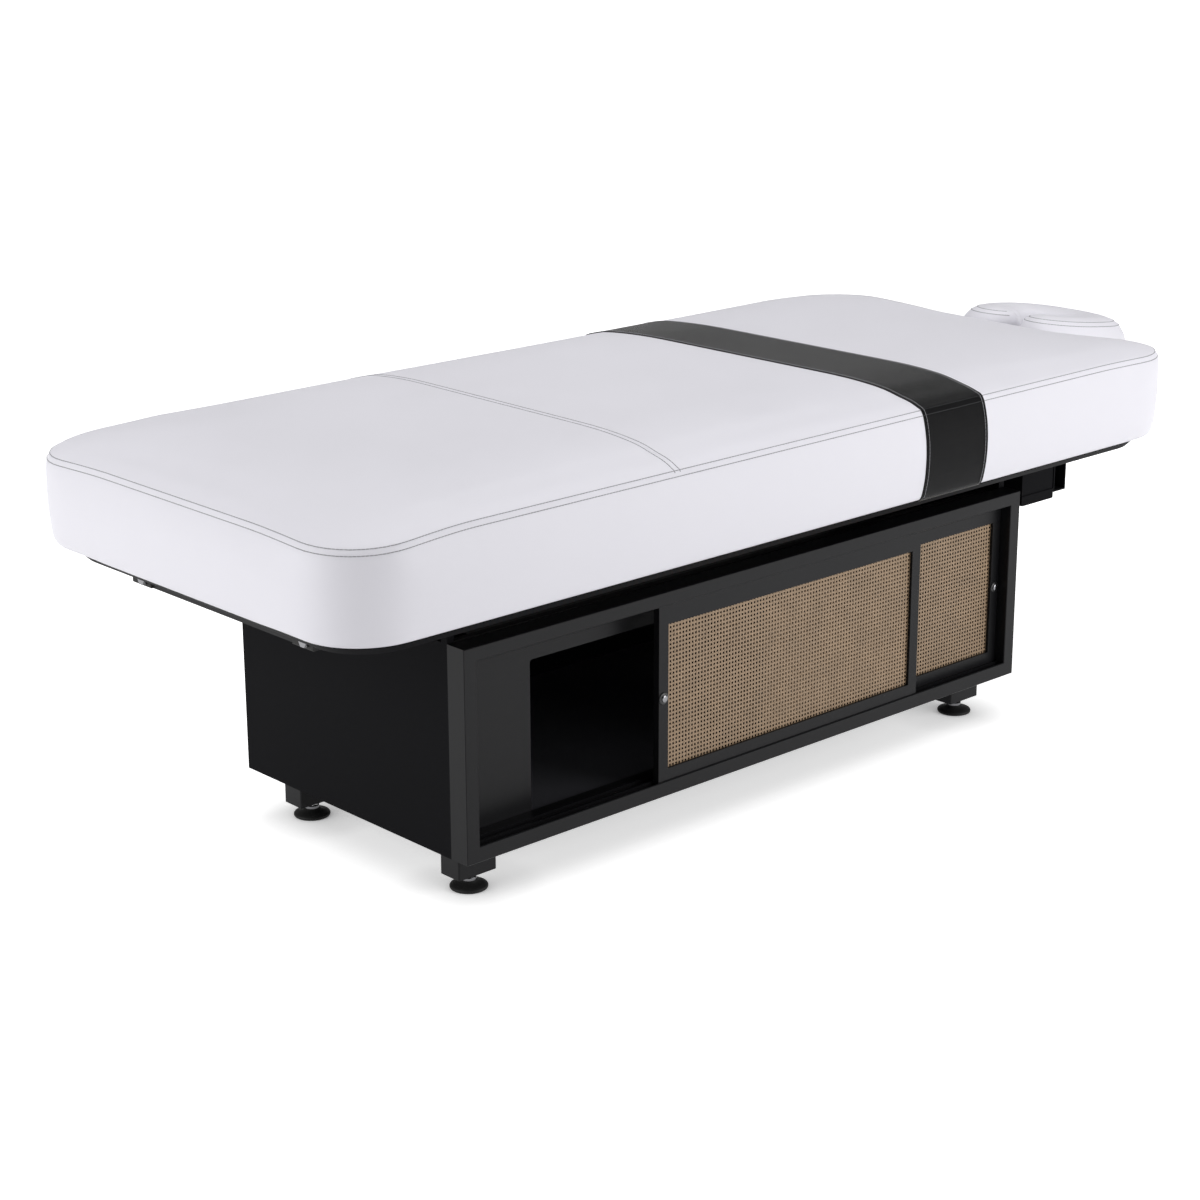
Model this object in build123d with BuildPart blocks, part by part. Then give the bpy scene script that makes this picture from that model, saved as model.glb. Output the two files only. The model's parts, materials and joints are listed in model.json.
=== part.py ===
from build123d import *
import math
import os

# A spa treatment table: an upholstered top on two electric lifting columns, in a cabinet with
# sliding cane doors, and a face rest at the head end. Millimetres, +Z up, X along the table with
# the head end at +X, the doors on the -Y side, the floor at zero and the whole table centred.

os.makedirs("parts", exist_ok=True)

# Mattress
mattress_length = 1866
mattress_width = 825
mattress_corner = 112
mattress_underside = 507
mattress_thickness = 183
seam_height = 155
bottom_tuck = 16
seam_inset = 20
band_start = 235
band_width = 152

# Face rest
head_extension = 270
rest_ring_radius = 97
rest_half_width = 47
rest_side_radius = 47
rest_seam_height = 58
rest_crown = 9
rest_tilt = 7.2
rest_open_angle = 36
platform_half_width = 34
pivot_gap = 73
upright_rise = 106
pin_clearance = 20.5

# Deck and upper frame
deck_thickness = 20
deck_inset = 36
deck_head_inset = 24
deck_corner = 96
deck_bevel = 12
rail_width = 50
rail_height = 25
rail_wall = 2
rail_centre_y = 203
rail_foot_end = 850
rail_head_end = 700
plate = 8

# Cabinet
cabinet_foot_end = 614
cabinet_head_end = 668
cabinet_front = -267
cabinet_back = 291
cabinet_bottom = 77
cabinet_top = 418
surround_depth = 38
stile_width = 25
bottom_rail_height = 25
top_rail_height = 23
board = 18
thin_board = 12
back_post_width = 47
corner_strip_width = 14
corner_strip_top = 440
sill_depth = 18
face_panel_top = 412
bay_foot_side = 438
bay_head_side = 492
bay_top = 348

# Sliding doors
door_width = 621
door_thickness = 12
door_member = 20.5
door_lower_show = 20
door_upper_show = 31.5
front_door_setback = 3
door_spacing = 18
door_clearance = 0.5
bottom_groove = 6
top_groove = 9
top_lift_out = 3
front_door_start = -216
rear_door_stop_gap = 1
cane_thickness = 2.4
cane_seat = 6
edge_break = 1
fit_gap = 0.3
shoe_length = 40
shoe_height = 1.2
slide_gap = 0.1

# Lifting columns
foot_column_x = -523
head_column_x = 577
tube_length_x = 110
tube_length_y = 150
tube_wall = 3.5
tube_height = 320
stage_rise = 8
stage_gap = 0.5
tube_corner = 12
base_plate_x = 136
base_plate_y = 200
top_plate_x = 120
top_plate_y = 180

# Feet
block_length = 75
block_width = 45
block_height = 50
block_end_inset = 28
block_front_inset = 55
block_back_inset = 58
pad_radius = 30
pad_height = 14
stud_radius = 5
stud_depth = 22

# Head end under the deck
housing_start = 771
housing_length = 89
housing_width = 380
housing_bottom = 372
sheet = 2
tray_height = 18
beam_gap = 2
beam_length = 35
beam_bottom = 364
beam_wall = 3
rod_radius = 6
rod_height = 430
rod_spacing = 190
rod_start = 725
rod_length = 260
clamp_stud_radius = 4
fold = 1
sleeve_lead = 5
sleeve_wall = 4
running_gap = 0.1

# One overrun serves every cut that has to break through a face.
overrun = 1

# Places that follow from the sizes above
mid_x = -head_extension / 2
mattress_end = mattress_length / 2
deck_underside = mattress_underside - deck_thickness
rail_underside = deck_underside - rail_height
floor_top = cabinet_bottom + board
surround_back = cabinet_front + surround_depth
foot_x = mid_x - cabinet_foot_end
head_x = mid_x + cabinet_head_end
inner_foot_x = foot_x + stile_width
inner_head_x = head_x - stile_width
opening_bottom = cabinet_bottom + bottom_rail_height
opening_top = cabinet_top - top_rail_height
strip_back = surround_back + corner_strip_width
post_front = cabinet_back - back_post_width
panel_front = surround_back + sill_depth
panel_back = panel_front + thin_board
back_panel_front = cabinet_back - board
bay_low_x = mid_x - bay_foot_side
bay_high_x = mid_x + bay_head_side


def block(x, y, z, mode=Mode.ADD):
    """A rectangular board between two corners, given as (low, high) pairs."""
    with BuildSketch(Plane.XY.offset(z[0])) as outline:
        with Locations(((x[0] + x[1]) / 2, (y[0] + y[1]) / 2)):
            Rectangle(x[1] - x[0], y[1] - y[0])
    extrude(outline.sketch, amount=z[1] - z[0], mode=mode)


# The mattress is one lofted form: a rounded bottom edge, full sides, wide round shoulders and a
# low crown. Each level is a share of the height, with the distance that its outline stands
# inside the widest one.
shoulder_height = mattress_thickness - seam_height
lower_levels = [
    (0, bottom_tuck),
    (seam_height * 0.04, bottom_tuck * 0.55),
    (seam_height * 0.14, bottom_tuck * 0.24),
    (seam_height * 0.32, bottom_tuck * 0.07),
    (seam_height * 0.53, 0),
    (seam_height * 0.68, seam_inset * 0.03),
    (seam_height * 0.79, seam_inset * 0.18),
    (seam_height * 0.9, seam_inset * 0.5),
    (seam_height, seam_inset),
]
shoulder_shares = [(0.29, 0.36), (0.54, 0.93), (0.73, 1.64), (0.875, 2.7), (0.965, 4.1), (1, 6.3)]
shoulder_corner_shares = [0.78, 0.68, 0.6, 0.52, 0.46, 0.42]

with BuildPart() as mattress_form:
    for height, inset in lower_levels:
        with BuildSketch(Plane.XY.offset(mattress_underside + height)):
            with Locations((mid_x, 0)):
                RectangleRounded(
                    mattress_length - 2 * inset, mattress_width - 2 * inset, mattress_corner - inset
                )
    for (height_share, inset_share), corner_share in zip(shoulder_shares, shoulder_corner_shares):
        level = mattress_underside + seam_height + shoulder_height * height_share
        inset = seam_inset + shoulder_height * inset_share
        with BuildSketch(Plane.XY.offset(level)):
            with Locations((mid_x, 0)):
                RectangleRounded(
                    mattress_length - 2 * inset,
                    mattress_width - 2 * inset,
                    mattress_corner * corner_share,
                )
    loft(ruled=True)

band_low_x = mid_x + band_start
band_high_x = band_low_x + band_width

with BuildPart() as cushion_foot_section:
    add(mattress_form.part)
    split(bisect_by=Plane.YZ.offset(band_low_x), keep=Keep.BOTTOM)
cushion_foot_section.part.label = "cushion_foot_section"
export_step(cushion_foot_section.part, "parts/cushion_foot_section.step")

with BuildPart() as cushion_band:
    add(mattress_form.part)
    split(bisect_by=Plane.YZ.offset(band_low_x), keep=Keep.TOP)
    split(bisect_by=Plane.YZ.offset(band_high_x), keep=Keep.BOTTOM)
cushion_band.part.label = "cushion_band"
export_step(cushion_band.part, "parts/cushion_band.step")

with BuildPart() as cushion_head_section:
    add(mattress_form.part)
    split(bisect_by=Plane.YZ.offset(band_high_x), keep=Keep.TOP)
cushion_head_section.part.label = "cushion_head_section"
export_step(cushion_head_section.part, "parts/cushion_head_section.step")

# Deck board under the mattress, screwed to the rails from below
deck_length = mattress_length - deck_inset - deck_head_inset
deck_width = mattress_width - 2 * deck_inset
deck_mid_x = mid_x + (deck_inset - deck_head_inset) / 2
rail_low_x = mid_x - rail_foot_end
rail_high_x = mid_x + rail_head_end
screw_radius = 3
screw_head_radius = 6
screw_head_height = 3
screw_bite = 15
screw_end_inset = 35
screw_count = 4
thread_gap = 0.05
screw_gap = 0.3
screw_pitch = (rail_high_x - rail_low_x - 2 * screw_end_inset) / (screw_count - 1)
screw_places = [
    (rail_low_x + screw_end_inset + i * screw_pitch, side * rail_centre_y)
    for i in range(screw_count)
    for side in (-1, 1)
]

with BuildPart() as deck_board:
    with BuildSketch(Plane.XY.offset(deck_underside)):
        with Locations((deck_mid_x, 0)):
            RectangleRounded(deck_length, deck_width, deck_corner)
    extrude(amount=deck_thickness)
    chamfer(deck_board.faces().sort_by(Axis.Z)[0].edges(), deck_bevel)
    with Locations(Plane.XY.offset(deck_underside)):
        with Locations(*screw_places):
            Cylinder(
                screw_radius + thread_gap,
                screw_bite + thread_gap,
                align=(Align.CENTER, Align.CENTER, Align.MIN),
                mode=Mode.SUBTRACT,
            )
deck_board.part.label = "deck_board"
export_step(deck_board.part, "parts/deck_board.step")

with BuildPart() as side_rails:
    for side in (-1, 1):
        with BuildSketch(Plane.YZ.offset(rail_low_x)):
            with Locations((side * rail_centre_y, rail_underside + rail_height / 2)):
                Rectangle(rail_width, rail_height)
                Rectangle(rail_width - 2 * rail_wall, rail_height - 2 * rail_wall, mode=Mode.SUBTRACT)
        extrude(amount=rail_high_x - rail_low_x)
    with Locations(Plane.XY.offset(rail_underside)):
        with Locations(*screw_places):
            Cylinder(
                screw_radius + screw_gap,
                rail_height,
                align=(Align.CENTER, Align.CENTER, Align.MIN),
                mode=Mode.SUBTRACT,
            )
side_rails.part.label = "side_rails"
export_step(side_rails.part, "parts/side_rails.step")

with BuildPart() as deck_screws:
    with Locations(Plane.XY.offset(rail_underside)):
        with Locations(*screw_places):
            Cylinder(
                screw_head_radius,
                screw_head_height,
                align=(Align.CENTER, Align.CENTER, Align.MAX),
            )
            Cylinder(
                screw_radius,
                rail_height + screw_bite,
                align=(Align.CENTER, Align.CENTER, Align.MIN),
            )
deck_screws.part.label = "deck_screws"
export_step(deck_screws.part, "parts/deck_screws.step")

# Caps close the rails' foot ends, each held by a bright hexagon bolt.
cap_thickness = 4
end_bolt_radius = 4
end_bolt_head = 9
end_bolt_head_height = 8
end_bolt_offset = 10
end_bolt_length = 20
rail_mid_z = rail_underside + rail_height / 2

with BuildPart() as rail_end_caps:
    for side in (-1, 1):
        with BuildSketch(Plane.YZ.offset(rail_low_x - cap_thickness)):
            with Locations((side * rail_centre_y, rail_mid_z)):
                Rectangle(rail_width, rail_height)
            with Locations((side * rail_centre_y - end_bolt_offset, rail_mid_z)):
                Circle(end_bolt_radius + screw_gap, mode=Mode.SUBTRACT)
        extrude(amount=cap_thickness)
    outer_edges = rail_end_caps.edges().filter_by(GeomType.LINE).group_by(Axis.X)[0]
    chamfer(outer_edges, rail_wall / 2)
rail_end_caps.part.label = "rail_end_caps"
export_step(rail_end_caps.part, "parts/rail_end_caps.step")

with BuildPart() as rail_end_bolts:
    for side in (-1, 1):
        with BuildSketch(Plane.YZ.offset(rail_low_x - cap_thickness)):
            with Locations((side * rail_centre_y - end_bolt_offset, rail_mid_z)):
                RegularPolygon(end_bolt_head, 6)
        extrude(amount=-end_bolt_head_height)
        with BuildSketch(Plane.YZ.offset(rail_low_x - cap_thickness)):
            with Locations((side * rail_centre_y - end_bolt_offset, rail_mid_z)):
                Circle(end_bolt_radius)
        extrude(amount=end_bolt_length)
rail_end_bolts.part.label = "rail_end_bolts"
export_step(rail_end_bolts.part, "parts/rail_end_bolts.step")

# Cross members butt against the insides of the two rails.
rail_inner_y = rail_centre_y - rail_width / 2
member_low_x = [rail_low_x, mid_x - rail_width / 2, rail_high_x - rail_width]

with BuildPart() as cross_members:
    for low_x in member_low_x:
        with BuildSketch(Plane.XZ.offset(-rail_inner_y)):
            with Locations((low_x + rail_width / 2, rail_mid_z)):
                Rectangle(rail_width, rail_height)
                Rectangle(rail_width - 2 * rail_wall, rail_height - 2 * rail_wall, mode=Mode.SUBTRACT)
        extrude(amount=2 * rail_inner_y)
cross_members.part.label = "cross_members"
export_step(cross_members.part, "parts/cross_members.step")

# Lifting columns: three tubes each, the inner one with a top plate under a cross plate
cross_plate_underside = rail_underside - plate
top_plate_underside = cross_plate_underside - plate
outer_bottom = floor_top + plate
column_bolt_radius = 4
column_bolt_head = 7
column_bolt_head_height = 5
column_bolt_inset = 12
column_top_bolt_inset = 10
rail_outer_y = rail_centre_y + rail_width / 2


def tube(x, low_z, high_z, step):
    """A rounded rectangular tube, drawn in by one wall and one gap for each step."""
    shrink = 2 * step * (tube_wall + stage_gap)
    corner = tube_corner - step * (tube_wall + stage_gap) / 2
    with BuildSketch(Plane.XY.offset(low_z)) as ring:
        with Locations((x, 0)):
            RectangleRounded(tube_length_x - shrink, tube_length_y - shrink, corner)
            RectangleRounded(
                tube_length_x - shrink - 2 * tube_wall,
                tube_length_y - shrink - 2 * tube_wall,
                corner - tube_wall,
                mode=Mode.SUBTRACT,
            )
    extrude(ring.sketch, amount=high_z - low_z)


def plate_with_holes(x, low_z, size_x, size_y, inset):
    """A flat plate with one bolt hole near each corner."""
    with BuildSketch(Plane.XY.offset(low_z)) as outline:
        with Locations((x, 0)):
            Rectangle(size_x, size_y)
            with GridLocations(size_x - 2 * inset, size_y - 2 * inset, 2, 2):
                Circle(column_bolt_radius + screw_gap, mode=Mode.SUBTRACT)
    extrude(outline.sketch, amount=plate)


with BuildPart() as foot_column_outer:
    plate_with_holes(foot_column_x + mid_x, floor_top, base_plate_x, base_plate_y, column_bolt_inset)
    tube(foot_column_x + mid_x, outer_bottom, outer_bottom + tube_height, 0)
foot_column_outer.part.label = "foot_column_outer"
export_step(foot_column_outer.part, "parts/foot_column_outer.step")

with BuildPart() as head_column_outer:
    plate_with_holes(head_column_x + mid_x, floor_top, base_plate_x, base_plate_y, column_bolt_inset)
    tube(head_column_x + mid_x, outer_bottom, outer_bottom + tube_height, 0)
head_column_outer.part.label = "head_column_outer"
export_step(head_column_outer.part, "parts/head_column_outer.step")

middle_bottom = outer_bottom + stage_rise
inner_bottom = middle_bottom + stage_rise

with BuildPart() as foot_column_middle:
    tube(foot_column_x + mid_x, middle_bottom, middle_bottom + tube_height, 1)
foot_column_middle.part.label = "foot_column_middle"
export_step(foot_column_middle.part, "parts/foot_column_middle.step")

with BuildPart() as head_column_middle:
    tube(head_column_x + mid_x, middle_bottom, middle_bottom + tube_height, 1)
head_column_middle.part.label = "head_column_middle"
export_step(head_column_middle.part, "parts/head_column_middle.step")

with BuildPart() as foot_column_inner:
    tube(foot_column_x + mid_x, inner_bottom, top_plate_underside, 2)
    plate_with_holes(
        foot_column_x + mid_x, top_plate_underside, top_plate_x, top_plate_y, column_top_bolt_inset
    )
foot_column_inner.part.label = "foot_column_inner"
export_step(foot_column_inner.part, "parts/foot_column_inner.step")

with BuildPart() as head_column_inner:
    tube(head_column_x + mid_x, inner_bottom, top_plate_underside, 2)
    plate_with_holes(
        head_column_x + mid_x, top_plate_underside, top_plate_x, top_plate_y, column_top_bolt_inset
    )
head_column_inner.part.label = "head_column_inner"
export_step(head_column_inner.part, "parts/head_column_inner.step")

with BuildPart() as cross_plates:
    for column_x in (foot_column_x + mid_x, head_column_x + mid_x):
        with BuildSketch(Plane.XY.offset(cross_plate_underside)):
            with Locations((column_x, 0)):
                Rectangle(top_plate_x, 2 * rail_outer_y)
                with GridLocations(
                    top_plate_x - 2 * column_top_bolt_inset,
                    top_plate_y - 2 * column_top_bolt_inset,
                    2,
                    2,
                ):
                    Circle(column_bolt_radius + screw_gap, mode=Mode.SUBTRACT)
        extrude(amount=plate)
cross_plates.part.label = "cross_plates"
export_step(cross_plates.part, "parts/cross_plates.step")


with BuildPart() as bolt_down:
    with BuildSketch(Plane.XY.offset(outer_bottom)):
        RegularPolygon(column_bolt_head, 6)
    extrude(amount=column_bolt_head_height)
    with BuildSketch(Plane.XY.offset(outer_bottom)):
        Circle(column_bolt_radius)
    extrude(amount=-(plate + board))

with BuildPart() as bolt_up:
    with BuildSketch(Plane.XY.offset(top_plate_underside)):
        RegularPolygon(column_bolt_head, 6)
    extrude(amount=-column_bolt_head_height)
    with BuildSketch(Plane.XY.offset(top_plate_underside)):
        Circle(column_bolt_radius)
    extrude(amount=2 * plate)

with BuildPart() as column_base_bolts:
    for column_x in (foot_column_x + mid_x, head_column_x + mid_x):
        with Locations((column_x, 0)):
            with GridLocations(
                base_plate_x - 2 * column_bolt_inset, base_plate_y - 2 * column_bolt_inset, 2, 2
            ):
                add(bolt_down.part)
column_base_bolts.part.label = "column_base_bolts"
export_step(column_base_bolts.part, "parts/column_base_bolts.step")

with BuildPart() as column_top_bolts:
    for column_x in (foot_column_x + mid_x, head_column_x + mid_x):
        with Locations((column_x, 0)):
            with GridLocations(
                top_plate_x - 2 * column_top_bolt_inset, top_plate_y - 2 * column_top_bolt_inset, 2, 2
            ):
                add(bolt_up.part)
column_top_bolts.part.label = "column_top_bolts"
export_step(column_top_bolts.part, "parts/column_top_bolts.step")

# Gear motors stand behind the columns in the end bays.
gearbox_x = 70
gearbox_y = 40
gearbox_height = 84
motor_radius = 29
motor_length = 112
motor_cap_radius = 22
motor_cap_length = 8
motor_z = outer_bottom + gearbox_height / 2

with BuildPart() as column_motors:
    for column_x in (foot_column_x + mid_x, head_column_x + mid_x):
        block(
            (column_x - gearbox_x / 2, column_x + gearbox_x / 2),
            (tube_length_y / 2, tube_length_y / 2 + gearbox_y),
            (outer_bottom, outer_bottom + gearbox_height),
        )
        with BuildSketch(Plane.XZ.offset(-(tube_length_y / 2 + gearbox_y))):
            with Locations((column_x, motor_z)):
                Circle(motor_radius)
        extrude(amount=-motor_length)
        with BuildSketch(Plane.XZ.offset(-(tube_length_y / 2 + gearbox_y + motor_length))):
            with Locations((column_x, motor_z)):
                Circle(motor_cap_radius)
        extrude(amount=-motor_cap_length)
column_motors.part.label = "column_motors"
export_step(column_motors.part, "parts/column_motors.step")

# Cabinet
base_bolt_places = [
    (column_x + mid_x + sx * (base_plate_x / 2 - column_bolt_inset), sy * (base_plate_y / 2 - column_bolt_inset))
    for column_x in (foot_column_x, head_column_x)
    for sx in (-1, 1)
    for sy in (-1, 1)
]

with BuildPart() as cabinet_floor:
    block(
        (foot_x + board, head_x - board), (surround_back, back_panel_front), (cabinet_bottom, floor_top)
    )
    with Locations(Plane.XY.offset(cabinet_bottom)):
        with Locations(*base_bolt_places):
            Cylinder(
                column_bolt_radius + screw_gap,
                board,
                align=(Align.CENTER, Align.CENTER, Align.MIN),
                mode=Mode.SUBTRACT,
            )
cabinet_floor.part.label = "cabinet_floor"
export_step(cabinet_floor.part, "parts/cabinet_floor.step")

# The front surround is one mitred frame. Two grooves in its rails carry the doors.
front_door_face = cabinet_front + front_door_setback
rear_door_face = front_door_face + door_spacing
groove_floor = opening_bottom - bottom_groove
groove_roof = opening_top + top_groove

with BuildPart() as front_surround:
    with BuildSketch(Plane.XZ.offset(-cabinet_front)):
        with Locations(((foot_x + head_x) / 2, (cabinet_bottom + cabinet_top) / 2)):
            Rectangle(head_x - foot_x, cabinet_top - cabinet_bottom)
        with Locations(((inner_foot_x + inner_head_x) / 2, (opening_bottom + opening_top) / 2)):
            Rectangle(
                inner_head_x - inner_foot_x, opening_top - opening_bottom, mode=Mode.SUBTRACT
            )
    extrude(amount=-surround_depth)
    for face_y in (front_door_face, rear_door_face):
        block(
            (inner_foot_x, inner_head_x),
            (face_y - door_clearance, face_y + door_thickness + door_clearance),
            (groove_floor, opening_bottom),
            mode=Mode.SUBTRACT,
        )
        block(
            (inner_foot_x, inner_head_x),
            (face_y - door_clearance, face_y + door_thickness + door_clearance),
            (opening_top, groove_roof),
            mode=Mode.SUBTRACT,
        )
    chamfer(front_surround.faces().sort_by(Axis.Y)[0].edges(), edge_break)
front_surround.part.label = "front_surround"
export_step(front_surround.part, "parts/front_surround.step")

with BuildPart() as door_sill:
    block((foot_x + board, head_x - board), (surround_back, panel_front), (floor_top, opening_bottom))
door_sill.part.label = "door_sill"
export_step(door_sill.part, "parts/door_sill.step")

with BuildPart() as front_corner_strips:
    for low_x in (foot_x, head_x - corner_strip_width):
        block(
            (low_x, low_x + corner_strip_width),
            (surround_back, strip_back),
            (cabinet_bottom, corner_strip_top),
        )
front_corner_strips.part.label = "front_corner_strips"
export_step(front_corner_strips.part, "parts/front_corner_strips.step")

with BuildPart() as end_panels:
    for low_x in (foot_x, head_x - board):
        block((low_x, low_x + board), (strip_back, post_front), (cabinet_bottom, cabinet_top))
end_panels.part.label = "end_panels"
export_step(end_panels.part, "parts/end_panels.step")

with BuildPart() as back_corner_posts:
    for low_x in (foot_x, head_x - board):
        block((low_x, low_x + board), (post_front, cabinet_back), (cabinet_bottom, cabinet_top))
back_corner_posts.part.label = "back_corner_posts"
export_step(back_corner_posts.part, "parts/back_corner_posts.step")

with BuildPart() as back_panel:
    block(
        (foot_x + board, head_x - board), (back_panel_front, cabinet_back), (cabinet_bottom, cabinet_top)
    )
back_panel.part.label = "back_panel"
export_step(back_panel.part, "parts/back_panel.step")

# The recessed face panel hides the columns and leaves the storage bay open.
face_corner = 5
with BuildPart() as inner_face_panel:
    low_x = foot_x + board
    high_x = head_x - board
    block((low_x, high_x), (panel_front, panel_back), (floor_top, face_panel_top))
    block(
        (bay_low_x, bay_high_x),
        (panel_front, panel_back),
        (floor_top, bay_top),
        mode=Mode.SUBTRACT,
    )
    bay_corners = [
        edge
        for edge in inner_face_panel.edges().filter_by(Axis.Y)
        if low_x < edge.center().X < high_x and edge.center().Z > floor_top
        and edge.center().Z < face_panel_top
    ]
    fillet(bay_corners, face_corner)
inner_face_panel.part.label = "inner_face_panel"
export_step(inner_face_panel.part, "parts/inner_face_panel.step")

with BuildPart() as bay_partitions:
    for low_x in (bay_low_x - thin_board, bay_high_x):
        block((low_x, low_x + thin_board), (panel_back, back_panel_front), (floor_top, bay_top))
bay_partitions.part.label = "bay_partitions"
export_step(bay_partitions.part, "parts/bay_partitions.step")

with BuildPart() as bay_ceiling:
    block(
        (bay_low_x - thin_board, bay_high_x + thin_board),
        (panel_back, back_panel_front),
        (bay_top, bay_top + thin_board),
    )
bay_ceiling.part.label = "bay_ceiling"
export_step(bay_ceiling.part, "parts/bay_ceiling.step")

# Sliding doors: a frame with cane webbing seated in a slot, a low round pull and two shoes
shoe_bottom = groove_floor + slide_gap
door_bottom = shoe_bottom + shoe_height
door_top = groove_roof - top_lift_out
front_door_x = mid_x + front_door_start
rear_door_x = inner_head_x - rear_door_stop_gap - door_width
cane_bottom = opening_bottom + door_lower_show
cane_top = opening_top - door_upper_show
cane_depth = door_thickness / 2 - cane_thickness / 2
pull_radius = 10
pull_base = 1.2
knob_radius = 5
knob_neck = 3.2
knob_height = 4.6
pull_stem = 6
pull_z = (cane_bottom + cane_top) / 2


def door_frame(door_x, face_y, pull_x):
    """The frame of one door, slotted for its cane and bored for its pull."""
    with BuildSketch(Plane.XZ.offset(-face_y)) as outline:
        with Locations((door_x + door_width / 2, (door_bottom + door_top) / 2)):
            Rectangle(door_width, door_top - door_bottom)
        with Locations((door_x + door_width / 2, (cane_bottom + cane_top) / 2)):
            Rectangle(door_width - 2 * door_member, cane_top - cane_bottom, mode=Mode.SUBTRACT)
    extrude(outline.sketch, amount=-door_thickness)
    slot_y = face_y + cane_depth - fit_gap
    block(
        (door_x + door_member - cane_seat, door_x + door_width - door_member + cane_seat),
        (slot_y, slot_y + cane_thickness + 2 * fit_gap),
        (cane_bottom - cane_seat, cane_top + cane_seat),
        mode=Mode.SUBTRACT,
    )
    with BuildSketch(Plane.XZ.offset(-face_y)) as stem:
        with Locations((pull_x, pull_z)):
            Circle(knob_neck + thread_gap)
    extrude(stem.sketch, amount=-pull_stem, mode=Mode.SUBTRACT)


def door_cane(door_x, face_y):
    """The cane webbing of one door, a flat panel between the frame's slots."""
    block(
        (
            door_x + door_member - cane_seat + fit_gap,
            door_x + door_width - door_member + cane_seat - fit_gap,
        ),
        (face_y + cane_depth, face_y + cane_depth + cane_thickness),
        (cane_bottom - cane_seat, cane_top + cane_seat - fit_gap),
    )


def door_pull(face_y, pull_x):
    """A low turned pull: a flat rosette, a neck and a small domed knob."""
    base_y = face_y
    dome_rise = knob_height * 0.3
    dome_radius = (knob_radius**2 + dome_rise**2) / (2 * dome_rise)
    half_drop = math.sqrt(dome_radius**2 - (knob_radius / 2) ** 2)
    with BuildSketch(Plane.XY.offset(pull_z)) as profile:
        with BuildLine():
            Polyline(
                (pull_x, base_y + pull_stem),
                (pull_x + knob_neck, base_y + pull_stem),
                (pull_x + knob_neck, base_y),
                (pull_x + pull_radius, base_y),
                (pull_x + pull_radius - pull_base / 2, base_y - pull_base),
                (pull_x + knob_neck, base_y - pull_base),
                (pull_x + knob_neck, base_y - knob_height / 2),
                (pull_x + knob_radius, base_y - knob_height + dome_rise),
            )
            ThreePointArc(
                (pull_x + knob_radius, base_y - knob_height + dome_rise),
                (pull_x + knob_radius / 2, base_y - knob_height + dome_radius - half_drop),
                (pull_x, base_y - knob_height),
            )
            Line((pull_x, base_y - knob_height), (pull_x, base_y + pull_stem))
        make_face()
    revolve(profile.sketch, axis=Axis((pull_x, 0, pull_z), (0, 1, 0)))


def door_shoes(door_x, face_y):
    """Two nylon shoes under the door, near its ends."""
    for low_x in (door_x + shoe_length, door_x + door_width - 2 * shoe_length):
        block(
            (low_x, low_x + shoe_length),
            (face_y + door_clearance, face_y + door_thickness - door_clearance),
            (shoe_bottom, door_bottom),
        )


front_pull_x = front_door_x + door_member / 2
rear_pull_x = rear_door_x + door_width - door_member / 2

with BuildPart() as front_door_frame:
    door_frame(front_door_x, front_door_face, front_pull_x)
front_door_frame.part.label = "front_door_frame"
export_step(front_door_frame.part, "parts/front_door_frame.step")

with BuildPart() as front_door_cane:
    door_cane(front_door_x, front_door_face)
front_door_cane.part.label = "front_door_cane"
export_step(front_door_cane.part, "parts/front_door_cane.step")

with BuildPart() as front_door_pull:
    door_pull(front_door_face, front_pull_x)
front_door_pull.part.label = "front_door_pull"
export_step(front_door_pull.part, "parts/front_door_pull.step")

with BuildPart() as front_door_shoes:
    door_shoes(front_door_x, front_door_face)
front_door_shoes.part.label = "front_door_shoes"
export_step(front_door_shoes.part, "parts/front_door_shoes.step")

with BuildPart() as rear_door_frame:
    door_frame(rear_door_x, rear_door_face, rear_pull_x)
rear_door_frame.part.label = "rear_door_frame"
export_step(rear_door_frame.part, "parts/rear_door_frame.step")

with BuildPart() as rear_door_cane:
    door_cane(rear_door_x, rear_door_face)
rear_door_cane.part.label = "rear_door_cane"
export_step(rear_door_cane.part, "parts/rear_door_cane.step")

with BuildPart() as rear_door_pull:
    door_pull(rear_door_face, rear_pull_x)
rear_door_pull.part.label = "rear_door_pull"
export_step(rear_door_pull.part, "parts/rear_door_pull.step")

with BuildPart() as rear_door_shoes:
    door_shoes(rear_door_x, rear_door_face)
rear_door_shoes.part.label = "rear_door_shoes"
export_step(rear_door_shoes.part, "parts/rear_door_shoes.step")

# Legs: four blocks under the floor, each with a threaded stud, a lock nut and a round pad
nut_radius = 9.8
nut_height = 8
stud_gap = 0.3
hub_radius = 12
hub_height = 4
pad_top_radius = 26
stud_top = cabinet_bottom - block_height + stud_depth - hub_height
leg_low_z = cabinet_bottom - block_height
leg_x = (
    foot_x + block_end_inset + block_length / 2,
    head_x - block_end_inset - block_length / 2,
)
leg_y = (
    cabinet_front + block_front_inset + block_width / 2,
    cabinet_back - block_back_inset - block_width / 2,
)
leg_places = [(x, y) for x in leg_x for y in leg_y]
block_round = 3

with BuildPart() as leg_blocks:
    with BuildSketch(Plane.XY.offset(leg_low_z)):
        with Locations(*leg_places):
            RectangleRounded(block_length, block_width, block_round)
    extrude(amount=block_height)
    with BuildSketch(Plane.XY.offset(leg_low_z)):
        with Locations(*leg_places):
            Circle(stud_radius + stud_gap)
    extrude(amount=stud_depth, mode=Mode.SUBTRACT)
leg_blocks.part.label = "leg_blocks"
export_step(leg_blocks.part, "parts/leg_blocks.step")

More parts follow.
